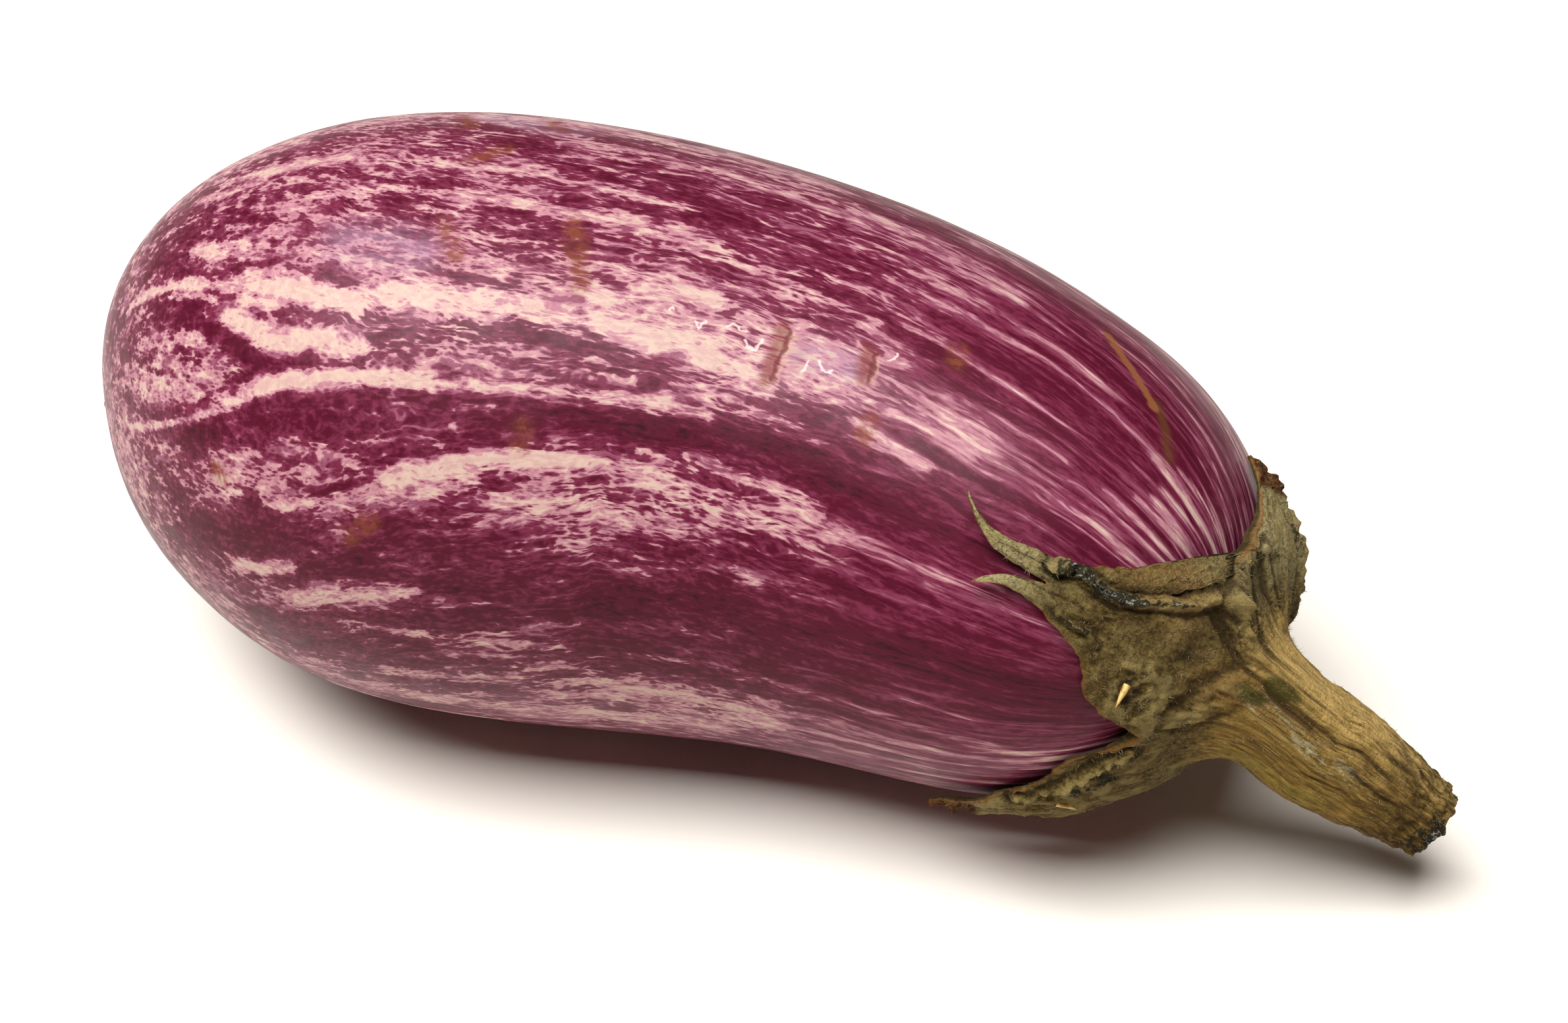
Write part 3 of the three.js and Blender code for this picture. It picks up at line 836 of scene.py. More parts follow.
# %% The flat chart of the skin, in the finish
turned_by = maths("DIVIDE", maths("ARCTAN2", around_place["Y"], around_place["X"]), 2 * math.pi)
chart = node("CombineXYZ", X=times(around_place["Z"], FRUIT_LENGTH),
             Y=times(maths("FRACT", turned_by), 360 * DEGREE), Z=0.0).outputs[0]
shaky_chart = vectors("ADD", chart, shaken(streak_place, 0.9, 2.0, (1.4, 1.4, 0)))


def strokes(line, inner, outer):
    """How fully a line of strokes covers each point: whole up to inner, nothing past outer, in mm."""
    points = [(x, y, 0) for x, y in on_chart(line)]
    drawn = [node("Group", {"node_tree": stroke}, Chart=shaky_chart, From=a, To=b, Inner=inner, Outer=outer)
             for a, b in zip(points, points[1:])]
    return largest(*(made.outputs["Cover"] for made in drawn))


# %% Patches of grey bloom, brown spots, and bruised dents with painted shade and highlight
BLOOM = [([(0.22, 106), (0.29, 108)], 5.5), ([(0.3, 64), (0.38, 68)], 4.5), ([(0.63, 113), (0.68, 112)], 4.0)]
LONG_SPOT = [(0.408, 99), (0.424, 111)]
SPOTS = [
    [(0.305, 102), (0.317, 108.5)], [(0.312, 85), (0.335, 80.5)], [(0.25, 161), (0.27, 157.5)],
    [(0.396, 137.5), (0.396, 140)], [(0.709, 119.5), (0.711, 123)], [(0.29, 63), (0.3, 71)],
    [(0.36, 62), (0.37, 68)], [(0.107, 154), (0.111, 156)], [(0.745, 98), (0.75, 101)],
]
# Beside each dent: a wide dark stroke of painted shade on one side, the thin dark bruise line, a tan painted
# highlight on its lip, and a mauve painted shade past it.
DENT_BRUISE_AND_SHADE = [  # how far beside the dent, inner and outer reach, strength, colour
    (-0.009, 0.1, 1.9, 0.7, "6A291B"), (-0.002, 0.1, 0.7, 0.85, "5A190B"),
    (0.003, 0.05, 0.35, 0.5, "A87C62"), (0.011, 0.3, 1.9, 0.25, "7E4658"),
]

bloom_grain = ramp_up(round_patches, 0.35, 0.65, 0.1, 0.55)
colour_now = layered(colour_now, [
    (times(strokes(line, 0.5, reach), bloom_grain), "8C6C80") for line, reach in BLOOM])

spots = largest(strokes(LONG_SPOT, 0.2, 2.6), *(strokes(line, 0.2, 2.4) for line in SPOTS))
spot_grain = ramp_up(grained(streak_place, 0.7, 3.0, 0.7), 0.4, 0.6, 0.2, 0.75)
colour_now = layered(colour_now, [(times(spots, spot_grain), "6E3820")])

for line, _, _ in DENTS:
    for beside, inner, outer, strength, tone in DENT_BRUISE_AND_SHADE:
        moved = [(share + beside, angle) for share, angle in line]
        bruise_and_shade = times(strokes(moved, inner, outer), strength)
        colour_now = layered(colour_now, [(bruise_and_shade, tone)])

# %% Scratch, scab, painted glints and blossom scar
# Pale curled strokes near the dents are painted glints, standing for small highlights on the skin.
GLINT_STROKES = [
    [(0.503, 112.5), (0.505, 111.6), (0.508, 111.9)],
    [(0.529, 113.0), (0.532, 114.4), (0.534, 113.4), (0.537, 112.6)],
    [(0.555, 112.4), (0.561, 111.7), (0.568, 112.3), (0.573, 112.0)],
    [(0.575, 114.0), (0.579, 115.3), (0.586, 115.0), (0.590, 113.2)],
    [(0.634, 116.0), (0.637, 114.4), (0.636, 113.6)],
    [(0.645, 112.8), (0.648, 114.3), (0.654, 114.7), (0.660, 113.8)],
    [(0.701, 107.4), (0.704, 106.2), (0.703, 105.2)],
]

scratch = strokes([(0.818, 66.5), (0.835, 69.5), (0.86, 73), (0.885, 77)], 0.5, 1.05)
scab = strokes([(0.885, 75), (0.9, 79), (0.918, 85)], 0.1, 1.5)
painted_glints = largest(*(strokes(line, 0.05, 0.3) for line in GLINT_STROKES))
scar = strokes([(SCAR_SHARE, SCAR_ANGLE), (SCAR_SHARE + 0.001, SCAR_ANGLE)], 1.6, 3.4)
# The pale D4C3BE strokes below are painted glints, a painted highlight.
colour_now = layered(colour_now, [
    (times(scab, 0.7), "523219"), (times(scratch, 0.85), "77492A"),
    (times(painted_glints, 0.62), "D4C3BE"), (scar, "4C341E"),
])

# %% [markdown]
# ## Gloss
# The skin is waxy. It mirrors a soft light, but the pores and the fine lengthwise lines break
# the mirror up. The scratch and the spots have lost their wax and are duller. The waxy layer
# could be a second coat on the shader, but a low roughness on the skin itself does the same
# and travels better to other programs.

# %% Wax, pores and fine lines
worn = largest(scratch, scar)
roughness = ramp_up(grained(streak_place, 0.22, 3.0), 0.35, 0.7, 0.34, 0.46)
dull = largest(worn, times(spots, 0.6))
roughness = summed(roughness, times(dull, 0.3))
pores = grained(streak_place, 2.6, 2.0)
height = summed(times(pores, 0.35), times(threads, 0.4),
                times(worn, -0.7), times(bare, 0.12))
skin_bumps = node("Bump", Height=height, Strength=0.35, Distance=0.00012)
tree.links.new(colour_now, skin_shader.inputs["Base Color"])
tree.links.new(roughness, skin_shader.inputs["Roughness"])
tree.links.new(skin_bumps.outputs[0], skin_shader.inputs["Normal"])
skin_shader.inputs["Specular IOR Level"].default_value = 0.1
fruit.data.materials.append(skin_finish)
print("skin finish has", len(tree.nodes), "nodes")

# %% [markdown]
# ## The calyx
# The calyx was once the green cap of the flower. Dried, it is a felty, leathery leaf with
# pointed lobes that hugs the stem end and turns up into the stem. Its places are given as on a
# map of the pole: an angle round the stem end, and a distance from it over the skin. One smooth
# curve through a few dozen places draws the margin of all its lobes. A flat leaf pressed onto
# the fruit with a shrinkwrap would bunch up at the lobes, and on this map it can't.

# %% Distance from the stem end, and a smooth curve through places
table_share = 1 - 0.5 * (np.arange(1501) / 1500) ** 4
table_steps = np.hypot(np.diff(table_share) * FRUIT_LENGTH, np.diff(girth(table_share)))
table_distance = np.concatenate([[0], np.cumsum(table_steps)])


def share_at(distance):
    return np.interp(distance, table_distance, table_share)


def curve_through(points, closed, count):
    """Evenly spaced places on a smooth curve through points, without overshoot at sharp tips."""
    points = np.asarray(points, float)
    if closed:
        ringed = np.vstack([points[-1:], points, points[:2]])
    else:
        ringed = np.vstack([2 * points[0] - points[1], points, 2 * points[-1] - points[-2]])
    w = np.linspace(0, 1, 41)[:-1, None]
    pieces = []
    for a, b, c, d in zip(ringed, ringed[1:], ringed[2:], ringed[3:]):
        before, here, after = (np.linalg.norm(q - p) ** 0.5 for p, q in ((a, b), (b, c), (c, d)))
        start = here * ((b - a) / before - (c - a) / (before + here) + (c - b) / here)
        end = here * ((c - b) / here - (d - b) / (here + after) + (d - c) / after)
        square, cube = 3 * (c - b) - 2 * start - end, 2 * (b - c) + start + end
        pieces.append(b + start * w + square * w ** 2 + cube * w ** 3)
    dense = np.vstack(pieces + [ringed[-2:-1]])
    length = np.concatenate([[0], np.cumsum(np.linalg.norm(np.diff(dense, axis=0), axis=1))])
    wanted = np.linspace(0, length[-1], count + 1)[:-1] if closed else np.linspace(0, length[-1], count)
    return np.stack([np.interp(wanted, length, axis) for axis in dense.T], -1), length[-1]


# %% The margin, lobe by lobe: angle round the stem end, distance from it
MARGIN = [
    (2, 18.3), (16, 20.3), (30, 23.2), (41, 26.3), (48, 28.6), (54, 24.6), (65, 19.5), (84, 18.2),
    (106, 21.8), (116, 26.5), (123.5, 32), (127.3, 37.5), (128.8, 45), (130.4, 52.5), (132, 45),
    (132.9, 39.5), (133.6, 37), (134.4, 40), (135.4, 46.5), (137.6, 41), (139, 37.2), (141.5, 34.3),
    (146, 30), (153, 27.3), (160, 25.8), (169, 21.5), (178, 18),
    (184, 21.5), (189, 26.5), (196, 30.5), (203, 35.5), (209, 41.5), (213.5, 48), (219, 41), (227, 34.5),
    (240, 28.5), (252, 23), (263, 19.5),
    (275, 25), (284, 33), (291, 41), (298, 33), (307, 25), (318, 19.5),
    (327, 25), (334, 32), (340, 37), (347, 29), (354, 22),
]
COLUMNS = 640


def on_map(places):
    turned = [(math.radians(angle), distance) for angle, distance in places]
    return [(distance * math.cos(turn), distance * math.sin(turn)) for turn, distance in turned]


margin, margin_length = curve_through(on_map(MARGIN), True, COLUMNS)
margin_3d = np.column_stack([margin, np.zeros(COLUMNS)])
teeth = 0.6 * noise_at(margin_3d, 2.0, 3) + 0.36 * noise_at(margin_3d, 0.8, 4)
reach = np.hypot(*margin.T) + teeth
margin_angle = np.degrees(np.unwrap(np.arctan2(margin[:, 1], margin[:, 0])))
even_angle = margin_angle[0] + all_round(COLUMNS)
print("margin is", round(float(margin_length)), "mm long")

# %% [markdown]
# The leaf is a grid of columns that run from the collar out to the margin. Close to the collar
# the columns are spread evenly and further out they follow the margin, so that the long tips
# get enough of them. Two slim tips bend sideways, dry lobes stand off the skin, and the leaf
# thickens towards the collar.

# %% Heights of the leaf over the skin
COLLAR = 15.5  # where the leaf ends and the flare into the stem begins, mm from the stem end
LEAF_GAP = 0.3  # between skin and leaf, mm
LIFT, LIFT_START = 0.004, 30  # how fast the long tips rise off the skin, and from which distance
WAVES, WAVE_HEIGHT = 26, 0.28  # along the margin, and half the height of one, mm
STAND_OFFS = [(224, 27, 22, 11, 1.5), (16, 20, 34, 8, 1.3)]  # place, distance, two widths, rise
TIPS = [(120, 133.4, 43.5, -0.08), (133.4, 138, 39.5, 0.1)]  # from, to, where it starts, bend


def bent(angle, distance):
    turned = angle
    for low, high, start, bend in TIPS:
        inside = (angle > low) & (angle < high)
        turned = turned + np.where(inside, bend * np.clip(distance - start, 0, None) ** 2, 0)
    return turned


def leaf_height(angle, distance, part):
    height = LEAF_GAP + LIFT * np.clip(distance - LIFT_START, 0, None) ** 2
    for place, far, spread, wide, rise in STAND_OFFS:
        height = height + rise * bell(angle_gap(angle, place), spread) * bell(distance - far, wide)
    waves = 1 + np.sin(np.radians(WAVES * all_round(COLUMNS)))
    return height + WAVE_HEIGHT * waves * smooth(0.6, 1, part)


def leaf_body(distance, part):
    """How thick the leaf is, in mm: more towards the collar, less at its very margin."""
    return 0.8 + 1.8 * smooth(24, COLLAR, distance) - 0.3 * smooth(0.8, 1, part)


def leaf_places(part):
    """Angle and distance of the grid's points, for a column of parts from collar to margin."""
    part = np.asarray(part, float)[:, None]
    distance = COLLAR + (reach - COLLAR) * part
    angle = even_angle + (margin_angle - even_angle) * smooth(0, 0.55, part)
    return angle, distance, np.broadcast_to(part, distance.shape)


# %% Underside, margin and outside of the leaf
UNDER_ROWS, OUTER_ROWS = 16, 54
CLOSING = [[5.0], [10.0]]  # two rows inside the collar that close the underside, mm from the stem end


def leaf_rows(parts, thick):
    angle, distance, part = leaf_places(parts)
    height = leaf_height(angle, distance, part) + thick * leaf_body(distance, part)
    return above(share_at(distance), bent(angle, distance), height), angle, distance, part


under, *_ = leaf_rows(np.linspace(0, 1, UNDER_ROWS), 0.0)
rounded, *_ = leaf_rows([1.0], 0.5)
outer, outer_angle, outer_distance, outer_part = leaf_rows(np.linspace(1, 0, OUTER_ROWS), 1.0)
closing_angle = np.broadcast_to(even_angle, (2, COLUMNS))
closing_distance = np.repeat(CLOSING, COLUMNS, axis=1)
closing_height = leaf_height(closing_angle, closing_distance, np.zeros((2, COLUMNS)))
closing = above(share_at(closing_distance), closing_angle, closing_height)
print("leaf rows:", UNDER_ROWS, "under and", OUTER_ROWS, "outside")

# %% [markdown]
# ## The stem's line
# The stem leaves the fruit along its axis, then droops under its own weight to just above the
# table. Its thickness follows a short table of places, and it is a little ribbed all round. A
# bevelled curve would give the same tube, but here its rings have to meet those of the leaf.

# %% Centre line and girth of the stem
STEM_POINTS = [(0, 0, 0), (4.2, -1.6, -2.6), (12.4, -1.3, -10), (18.4, -0.4, -14.6), (24, 0, -18.4),
               (31.7, -0.2, -23.5)]
STEM_GIRTH = [(0.2, 8.1), (0.46, 8.3), (0.64, 7.8), (0.78, 6.8), (0.9, 5.8), (1.0, 5.3)]
RIBS = [(0.035, 3, 1.2, 0.8), (0.025, 7, -0.5, 1.5)]  # height, how many, where they start, twist
STEM_STEPS = 800
NECK, NECK_RADIUS = 11.5, 8.1  # the ring, in mm along the stem, where calyx and stem meet
stem_line, stem_length = curve_through(np.array(STEM_POINTS) + centre_line[-1], False, STEM_STEPS + 1)
stem_tangents = unit(np.gradient(stem_line, axis=0))


def stem_frame(travelled):
    """Centre, direction, side and rise of the stem at a distance along it."""
    place = travelled / stem_length * STEM_STEPS
    centre, along = on_table(place, stem_line), on_table(place, stem_tangents)
    side = unit(np.cross([0, 0, 1], along))
    return centre, along, side, np.cross(along, side)


def stem_girth(travelled):
    part = travelled / stem_length
    radius = np.full(np.shape(part), STEM_GIRTH[0][1])
    for (start, thin), (stop, thick) in zip(STEM_GIRTH, STEM_GIRTH[1:]):
        radius = np.where(part > start, thin + (thick - thin) * smooth(start, stop, part), radius)
    return radius


def stem_points(travelled, angle, radius):
    centre, _, side, rise = stem_frame(travelled)
    turn = np.radians(angle)
    part = travelled / stem_length
    ribs = 1.0
    for height, count, start, twist in RIBS:
        ribs = ribs + height * np.cos(count * turn + start + twist * part)
    out = side * np.cos(turn)[..., None] + rise * np.sin(turn)[..., None]
    return centre + out * (radius * ribs)[..., None]


neck_centre, neck_along, _, _ = stem_frame(np.array(NECK))
print("stem is", round(float(stem_length), 1), "mm long on its centre line")

# %% [markdown]
# From the collar the leaf turns up along the stem in a flare, as a trumpet turns into its tube.
# Each column crosses it on one Bezier curve, because such a curve leaves the leaf smoothly and
# meets the stem smoothly.

# %% The flare between leaf and stem
FLARE_ROWS = 34
HANDLE_LENGTH = 0.42  # of the way across

flat = np.zeros(COLUMNS)
collar_ring = outer[-1]
neck_ring = stem_points(np.full(COLUMNS, NECK), even_angle, np.full(COLUMNS, NECK_RADIUS))
just_out = np.full(COLUMNS, COLLAR + 1.5)
out_height = leaf_height(even_angle, just_out, flat) + leaf_body(just_out, flat)
inward = unit(collar_ring - above(share_at(just_out), even_angle, out_height))
handle = HANDLE_LENGTH * np.linalg.norm(neck_ring - collar_ring, axis=1, keepdims=True)
leaving, arriving = collar_ring + inward * handle, neck_ring - neck_along * handle
t = np.linspace(0, 1, FLARE_ROWS + 1)[1:, None, None]
flare = ((1 - t) ** 3 * collar_ring + 3 * t * (1 - t) ** 2 * leaving
         + 3 * t ** 2 * (1 - t) * arriving + t ** 3 * neck_ring)
flare_part = np.broadcast_to(t[..., 0], (FLARE_ROWS, COLUMNS))
print("flare handles, mm:", handle.min().round(1), "to", handle.max().round(1))

# %% [markdown]
# ## Relief of the dry leaf and of the wood
# Drying wrinkled the leaf, veins run down its lobes, and ridges are left where folds of it
# pressed together, with a crevice beside each. The wood has lengthwise furrows that run right
# across the flare, and a few narrow cracks. Both are worked out on one map, fibre places, whose
# third number runs along the fibres, so that nothing breaks where leaf and stem meet. Sculpting
# would be freer, but this can be made again and changed by a number.

# %% Fibre places and wood relief
FIBRE_RADIUS = 9
GRAIN = [(0.32, 0.14, 2.6, 5), (0.2, 0.25, 1.0, 6), (0.16, 0.3, 0.5, 21)]  # height, stretch, size, seed
CRACKS = [(170, 1, 15), (126, 0, 10), (148, 9, 20)]  # angle, from, to in mm along the wood
CRACK_DEPTH, CRACK_WIDTH = 0.34, 0.28  # mm
STEM_DEGREE, NECK_DEGREE = 0.13, 0.15  # millimetres of wood to a degree, on the stem and at its neck
# Fifteen furrows: angle, depth in mm, width in degrees, and twist in degrees to a millimetre.
FURROWS = np.random.default_rng(11).uniform((0, 0.25, 3, -0.6), (360, 0.6, 7, 0.6), (15, 4))


def fibre_places(angle, along):
    turn = np.radians(angle)
    return np.stack([FIBRE_RADIUS * np.cos(turn), FIBRE_RADIUS * np.sin(turn), along + 0 * turn], -1)


def wood_relief(angle, along):
    """Height of the wood in millimetres, for an angle round the stem and a distance along it."""
    places = fibre_places(angle, along)
    relief = 0.0
    for height, stretch, size, seed in GRAIN:
        relief = relief + height * noise_at(places * (1, 1, stretch), size, seed)
    for middle, depth, width, twist in FURROWS:
        gap = angle_gap(angle, middle + twist * along + 5 * np.sin(along / 4 + middle))
        comes_and_goes = np.clip(0.35 + 0.65 * np.sin(along / 3 + 2 * middle), 0, 1)
        relief = relief - depth * bell(gap, width) * comes_and_goes
    for middle, start, end in CRACKS:
        gap = angle_gap(angle, middle + 1.5 * np.sin(along / 2)) * STEM_DEGREE
        length = smooth(start - 2, start + 1, along) * smooth(end + 2, end - 1, along)
        relief = relief - CRACK_DEPTH * bell(gap, CRACK_WIDTH) * length
    return relief


# %% Folds, veins, hollows and mould of the leaf: a line on the map, a width and a strength
FOLDS = [
    ([(129, 37.5), (126.8, 33.7), (128.3, 30.5), (128, 27.5), (123, 23), (117, 19.4), (106, 16.6),
      (97.6, 14.7)], 0.85, 1.3),
    ([(138.7, 34), (139.9, 31.9), (140.3, 29.4), (143.1, 27.5)], 0.5, 0.6),
    ([(186.7, 18.7), (197.5, 26.1), (204.5, 34.3)], 0.8, 1.0),
    ([(81.4, 18.1), (88.8, 16.1), (95.4, 14.7), (106, 13.3), (112.8, 11.3), (115, 8.5)], 1.4, 1.1),
    ([(170, 14), (160, 13), (150, 12.6), (138, 11.5), (126, 10.5)], 1.2, 0.7),
    ([(20, 14), (34, 20), (42, 25)], 0.9, 0.8),
    ([(64, 12), (66, 17)], 0.9, 0.6),
    ([(355, 12), (3, 17)], 0.8, 0.7),
]
VEINS = [
    [(48, 12), (48, 26)], [(116, 13), (128, 30), (130, 48)], [(150, 14), (146, 22), (150, 27)],
    [(216, 10), (215, 44)], [(291, 10), (291, 38)], [(340, 10), (340, 34)],
]
HOLLOWS = [
    ([(108, 15.5), (120, 15), (134.8, 15), (146, 16.5)], 1.8, 0.8),
    ([(135, 26), (134, 21)], 2.4, 0.4),
    ([(188, 23), (198, 30)], 1.4, 0.7),
    ([(75, 15), (60, 15.5)], 1.6, 0.6),
]
MOULD = [
    ([(128.8, 36.5), (126.8, 33.7), (128.3, 30.5), (128, 27.5), (126, 25.5)], 1.0, 0.95),
    ([(126, 25.5), (123, 23), (117, 19.4)], 0.55, 0.75),
    ([(138.7, 34), (139.9, 31.9), (140.3, 29.4)], 0.5, 0.7),
    ([(148, 21), (157, 21.5), (161, 18.5)], 1.5, 0.5),
    ([(204.7, 26), (202.8, 21.3)], 1.1, 0.7),
    ([(38, 19), (30, 17)], 1.0, 0.6),
]

# %% The whole outside, leaf and flare, on one map
FLARE_LENGTH, NECK_ON_MAP = 12, 6.0  # millimetres

outside = np.concatenate([outer, flare])
map_angle = np.concatenate([outer_angle, np.broadcast_to(even_angle, flare_part.shape)])
map_distance = np.concatenate([outer_distance, COLLAR - (COLLAR - NECK_ON_MAP) * flare_part])
map_part = np.concatenate([outer_part, 0 * flare_part])
woody = np.concatenate([0 * outer_part, flare_part])
map_x = map_distance * np.cos(np.radians(map_angle))
map_y = map_distance * np.sin(np.radians(map_angle))
map_points = np.stack([map_x, map_y, 0 * map_x], -1)
wood_along = np.where(woody > 0, FLARE_LENGTH * (woody - 1), COLLAR - FLARE_LENGTH - map_distance)
turns_to_wood = smooth(0.25, 1.0, woody)


def by_angle(middle, spread):
    """1 at an angle of the map, less to both sides."""
    return bell(angle_gap(map_angle, middle), spread)


def gap_to(line):
    """How far each place of the map is from a line on it, in millimetres."""
    return from_line(map_x, map_y, on_map(line))[0]


# %% Wrinkles, folds, veins and hollows
rumpled = by_angle(158, 15) * bell(map_distance - 18, 5)
rumpled = np.maximum(rumpled, 0.7 * by_angle(30, 40) * smooth(13, 19, map_distance))
rumpled = np.maximum(rumpled, 0.6 * by_angle(205, 16) * smooth(17, 24, map_distance))
wrinkle = 0.5 * ridged(map_points, 4.4, 8, 0.45) + 0.34 * ridged(map_points, 2.1, 9, 0.4)
wrinkle += 0.16 * noise_at(map_points, 0.9, 10) + 0.08 * noise_at(map_points, 0.5, 22)
wrinkle += rumpled * (1.5 * ridged(map_points, 2.6, 23, 0.35) + 0.4 * noise_at(map_points, 1.1, 24))

leaf_relief = wrinkle.copy()
crevice = np.zeros(map_x.shape)
astray = noise_at(map_points, 1.6, 12)
crumpled = noise_at(map_points, 0.9, 29)
for line, width, rise in FOLDS:
    gap = gap_to(line) + 0.4 * astray
    leaf_relief += 1.3 * rise * bell(gap, width) * (0.7 + 0.7 * astray + 0.8 * crumpled)
    crevice = np.maximum(crevice, min(rise, 1) * bell(gap - 1.5 * width, 0.5))
leaf_relief -= 0.5 * crevice
for line in VEINS:
    leaf_relief += 0.3 * bell(gap_to(line), 0.8)
for line, width, depth in HOLLOWS:
    leaf_relief -= depth * bell(gap_to(line), width)

# %% Mould, painted shade in hollows, and the change from leaf to wood
mould = np.zeros(map_x.shape)
for line, width, strength in MOULD:
    ragged_gap = gap_to(line) + 0.9 * astray * width
    mould = np.maximum(mould, strength * (1 - smooth(0.4 * width, 1.7 * width, ragged_gap)))

flare_wood = wood_relief(map_angle, wood_along)
# Painted shade and highlight: these numbers are high where the leaf sinks between wrinkles, in the crevice
# beside each fold and in the wood's furrows, and the finishes paint such places darker and raised places
# lighter.
leaf_hollow_shade = np.clip(0.5 - 1.2 * wrinkle - 0.4 * (leaf_relief - wrinkle) + 0.7 * crevice, 0, 1)
wood_hollow_shade = np.clip(0.35 - flare_wood, 0, 1)
hollow_shade = leaf_hollow_shade + (wood_hollow_shade - leaf_hollow_shade) * turns_to_wood
leaf_relief = leaf_relief * (1 - turns_to_wood) + flare_wood * smooth(0.0, 0.9, woody)
# No sunken place may cut through the leaf, which is thick only near the collar.
leaf_relief = np.maximum(leaf_relief, -0.45 - 2 * smooth(22, 13, map_distance))
print("relief of the calyx, mm:", leaf_relief.min().round(2), "to", leaf_relief.max().round(2))

# %% [markdown]
# The tips of the two driest lobes are brown and crumpled, so they get more and coarser relief,
# and a reading that the finish turns brown. Another reading marks the margin, which dries to
# an orange-brown line.

# %% Dry tips, margin, and the rows of the calyx
RIM_WIDTH = 0.32

dry = smooth(37, 45, map_distance) * by_angle(213, 12)
dry = np.maximum(dry, smooth(21.5, 26, map_distance) * by_angle(42, 17))
leaf_relief += dry * (noise_at(map_points, 2.4, 13) + 0.6 * noise_at(map_points, 1.1, 14))
margin_gap = (1 - map_part) * (reach - COLLAR)
rim = bell(margin_gap, RIM_WIDTH) * (woody == 0)


def grid_normals(grid):
    along = np.gradient(grid, axis=0)
    around = np.roll(grid, -1, axis=1) - np.roll(grid, 1, axis=1)
    return unit(np.cross(along, around))


outside_normals = grid_normals(outside)
# The normals have to point outwards, whichever way the columns run.
if (outside_normals[:, 0] * (outside[:, 0] - centre_line[-1])).sum() < 0:
    outside_normals = -outside_normals
outside_fine = outside + outside_normals * leaf_relief[..., None]
# The last ring has the relief of the wood alone, as the stem's first ring has.
outside_fine[-1] = outside[-1] + outside_normals[-1] * flare_wood[-1][..., None]
rows = np.concatenate([closing, under, rounded, outside_fine])
print("the calyx has", len(rows), "rows of", COLUMNS, "points")

# %% [markdown]
# No two places of a dry plant have quite the same colour. The top of the wood is painted
# paler, as painted light from above, a patch is still green, grey lichen grew on another, and
# two dark bruises sit where the leaf turns to wood. The finish can't know such places by
# itself, so they are worked out here and stored as readings. Painting them by hand would need
# a picture file to go along.

# %% Tints of the wood, from the places on the map
# Round 84 degrees is the top of the wood as it lies, painted paler: painted light.
PAINTED_LIGHT_SIDE, PAINTED_LIGHT_SPREAD = 84, 36  # degrees
GREEN_PATCH = [(-3, 199), (2, 200), (8, 193)]  # mm along the wood, and angle
LICHEN = [(-5, 144), (2, 147), (11, 149)]
WOOD_BRUISES = [(139, -6, 1.1, 2.0), (120, -3.6, 1.2, 1.9)]  # angle, mm along, half width, half length


def near_stroke(angle, along, line, across, reach):
    """How near a place of the wood is to a stroke; across is in degrees, reach in millimetres."""
    middle = line[0][1]
    chart = [(x / reach, (a - middle) / across) for x, a in line]
    gap, _ = from_line(along / reach, angle_gap(angle, middle) / across, chart)
    return 1 - smooth(0.45, 1.1, gap)


def wood_tints(angle, along):
    """How much painted light falls on the wood's top, how green and how crusted with grey lichen the wood is.
    """
    uneven = noise_at(fibre_places(angle, along) * (1, 1, 0.5), 1.8, 25)
    painted_light = bell(angle_gap(angle, PAINTED_LIGHT_SIDE + 14 * uneven), PAINTED_LIGHT_SPREAD)
    green = near_stroke(angle, along, GREEN_PATCH, 11, 3) * 0.55
    lichen = near_stroke(angle, along, LICHEN, 14, 3)
    return np.stack([painted_light, green, lichen], -1)


def bruises(angle, along):
    uneven = 0.35 * noise_at(fibre_places(angle, along), 1.3, 26)
    gaps = [np.hypot(angle_gap(angle, middle) * NECK_DEGREE / wide, (along - place) / long)
            for middle, place, wide, long in WOOD_BRUISES]
    return 1 - smooth(0.8, 1.15, np.minimum(*gaps) + uneven)


# %% Tan and faded places of the leaf
tan = by_angle(113, 14) * smooth(14, 17, map_distance) * smooth(34, 28, map_distance)
tan = np.maximum(tan, by_angle(140, 16) * bell(map_distance - 12, 2.5))
faded = np.maximum(by_angle(52, 44) * smooth(12, 17, map_distance), smooth(33, 44, map_distance))

# %% The calyx
BLANK = [0, 0, 0]

hidden_rows = len(rows) - len(outside_fine)
calyx_fibres = fibre_places(map_angle, wood_along)
under_fibres = np.broadcast_to(calyx_fibres[0], (hidden_rows, COLUMNS, 3))
calyx_tints = np.concatenate([np.zeros((hidden_rows, COLUMNS, 3)), wood_tints(map_angle, wood_along)])


def calyx_reading(values, under_value=0.0):
    filled = np.concatenate([np.full((hidden_rows, COLUMNS), under_value), values])
    return with_ends(filled, under_value, under_value)


pole = above(np.array([1 - 1e-9]), np.array([0.0]), np.array([0.3]))[0]
calyx_points = with_ends(rows, pole, neck_centre) + shift
calyx = mesh_piece("dried_calyx", calyx_points, ring_faces(len(rows), COLUMNS), {
    "fibres": with_ends(np.concatenate([under_fibres, calyx_fibres]), BLANK, BLANK),
    "tints": with_ends(calyx_tints, BLANK, BLANK),
    "mould": calyx_reading(mould),
    "dry": calyx_reading(dry),
    "tan": calyx_reading(tan),
    "rim": calyx_reading(rim),
    "woody": calyx_reading(woody),
    # painted shade: dark in the leaf's hollows, and dark all over the underside that faces the fruit
    "hollow_shade": calyx_reading(hollow_shade, 0.8),
    "faded": calyx_reading(faded),
    "bruise": calyx_reading(bruises(map_angle, wood_along)),
})
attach(calyx, "root")
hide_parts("calyx")

# %% [markdown]
# ## The stem
# The stem is the same wood further on. Its mesh starts on the very ring where the calyx ends.
# Towards the far end the wood grows lumpy, as it was squeezed and torn when it was cut.

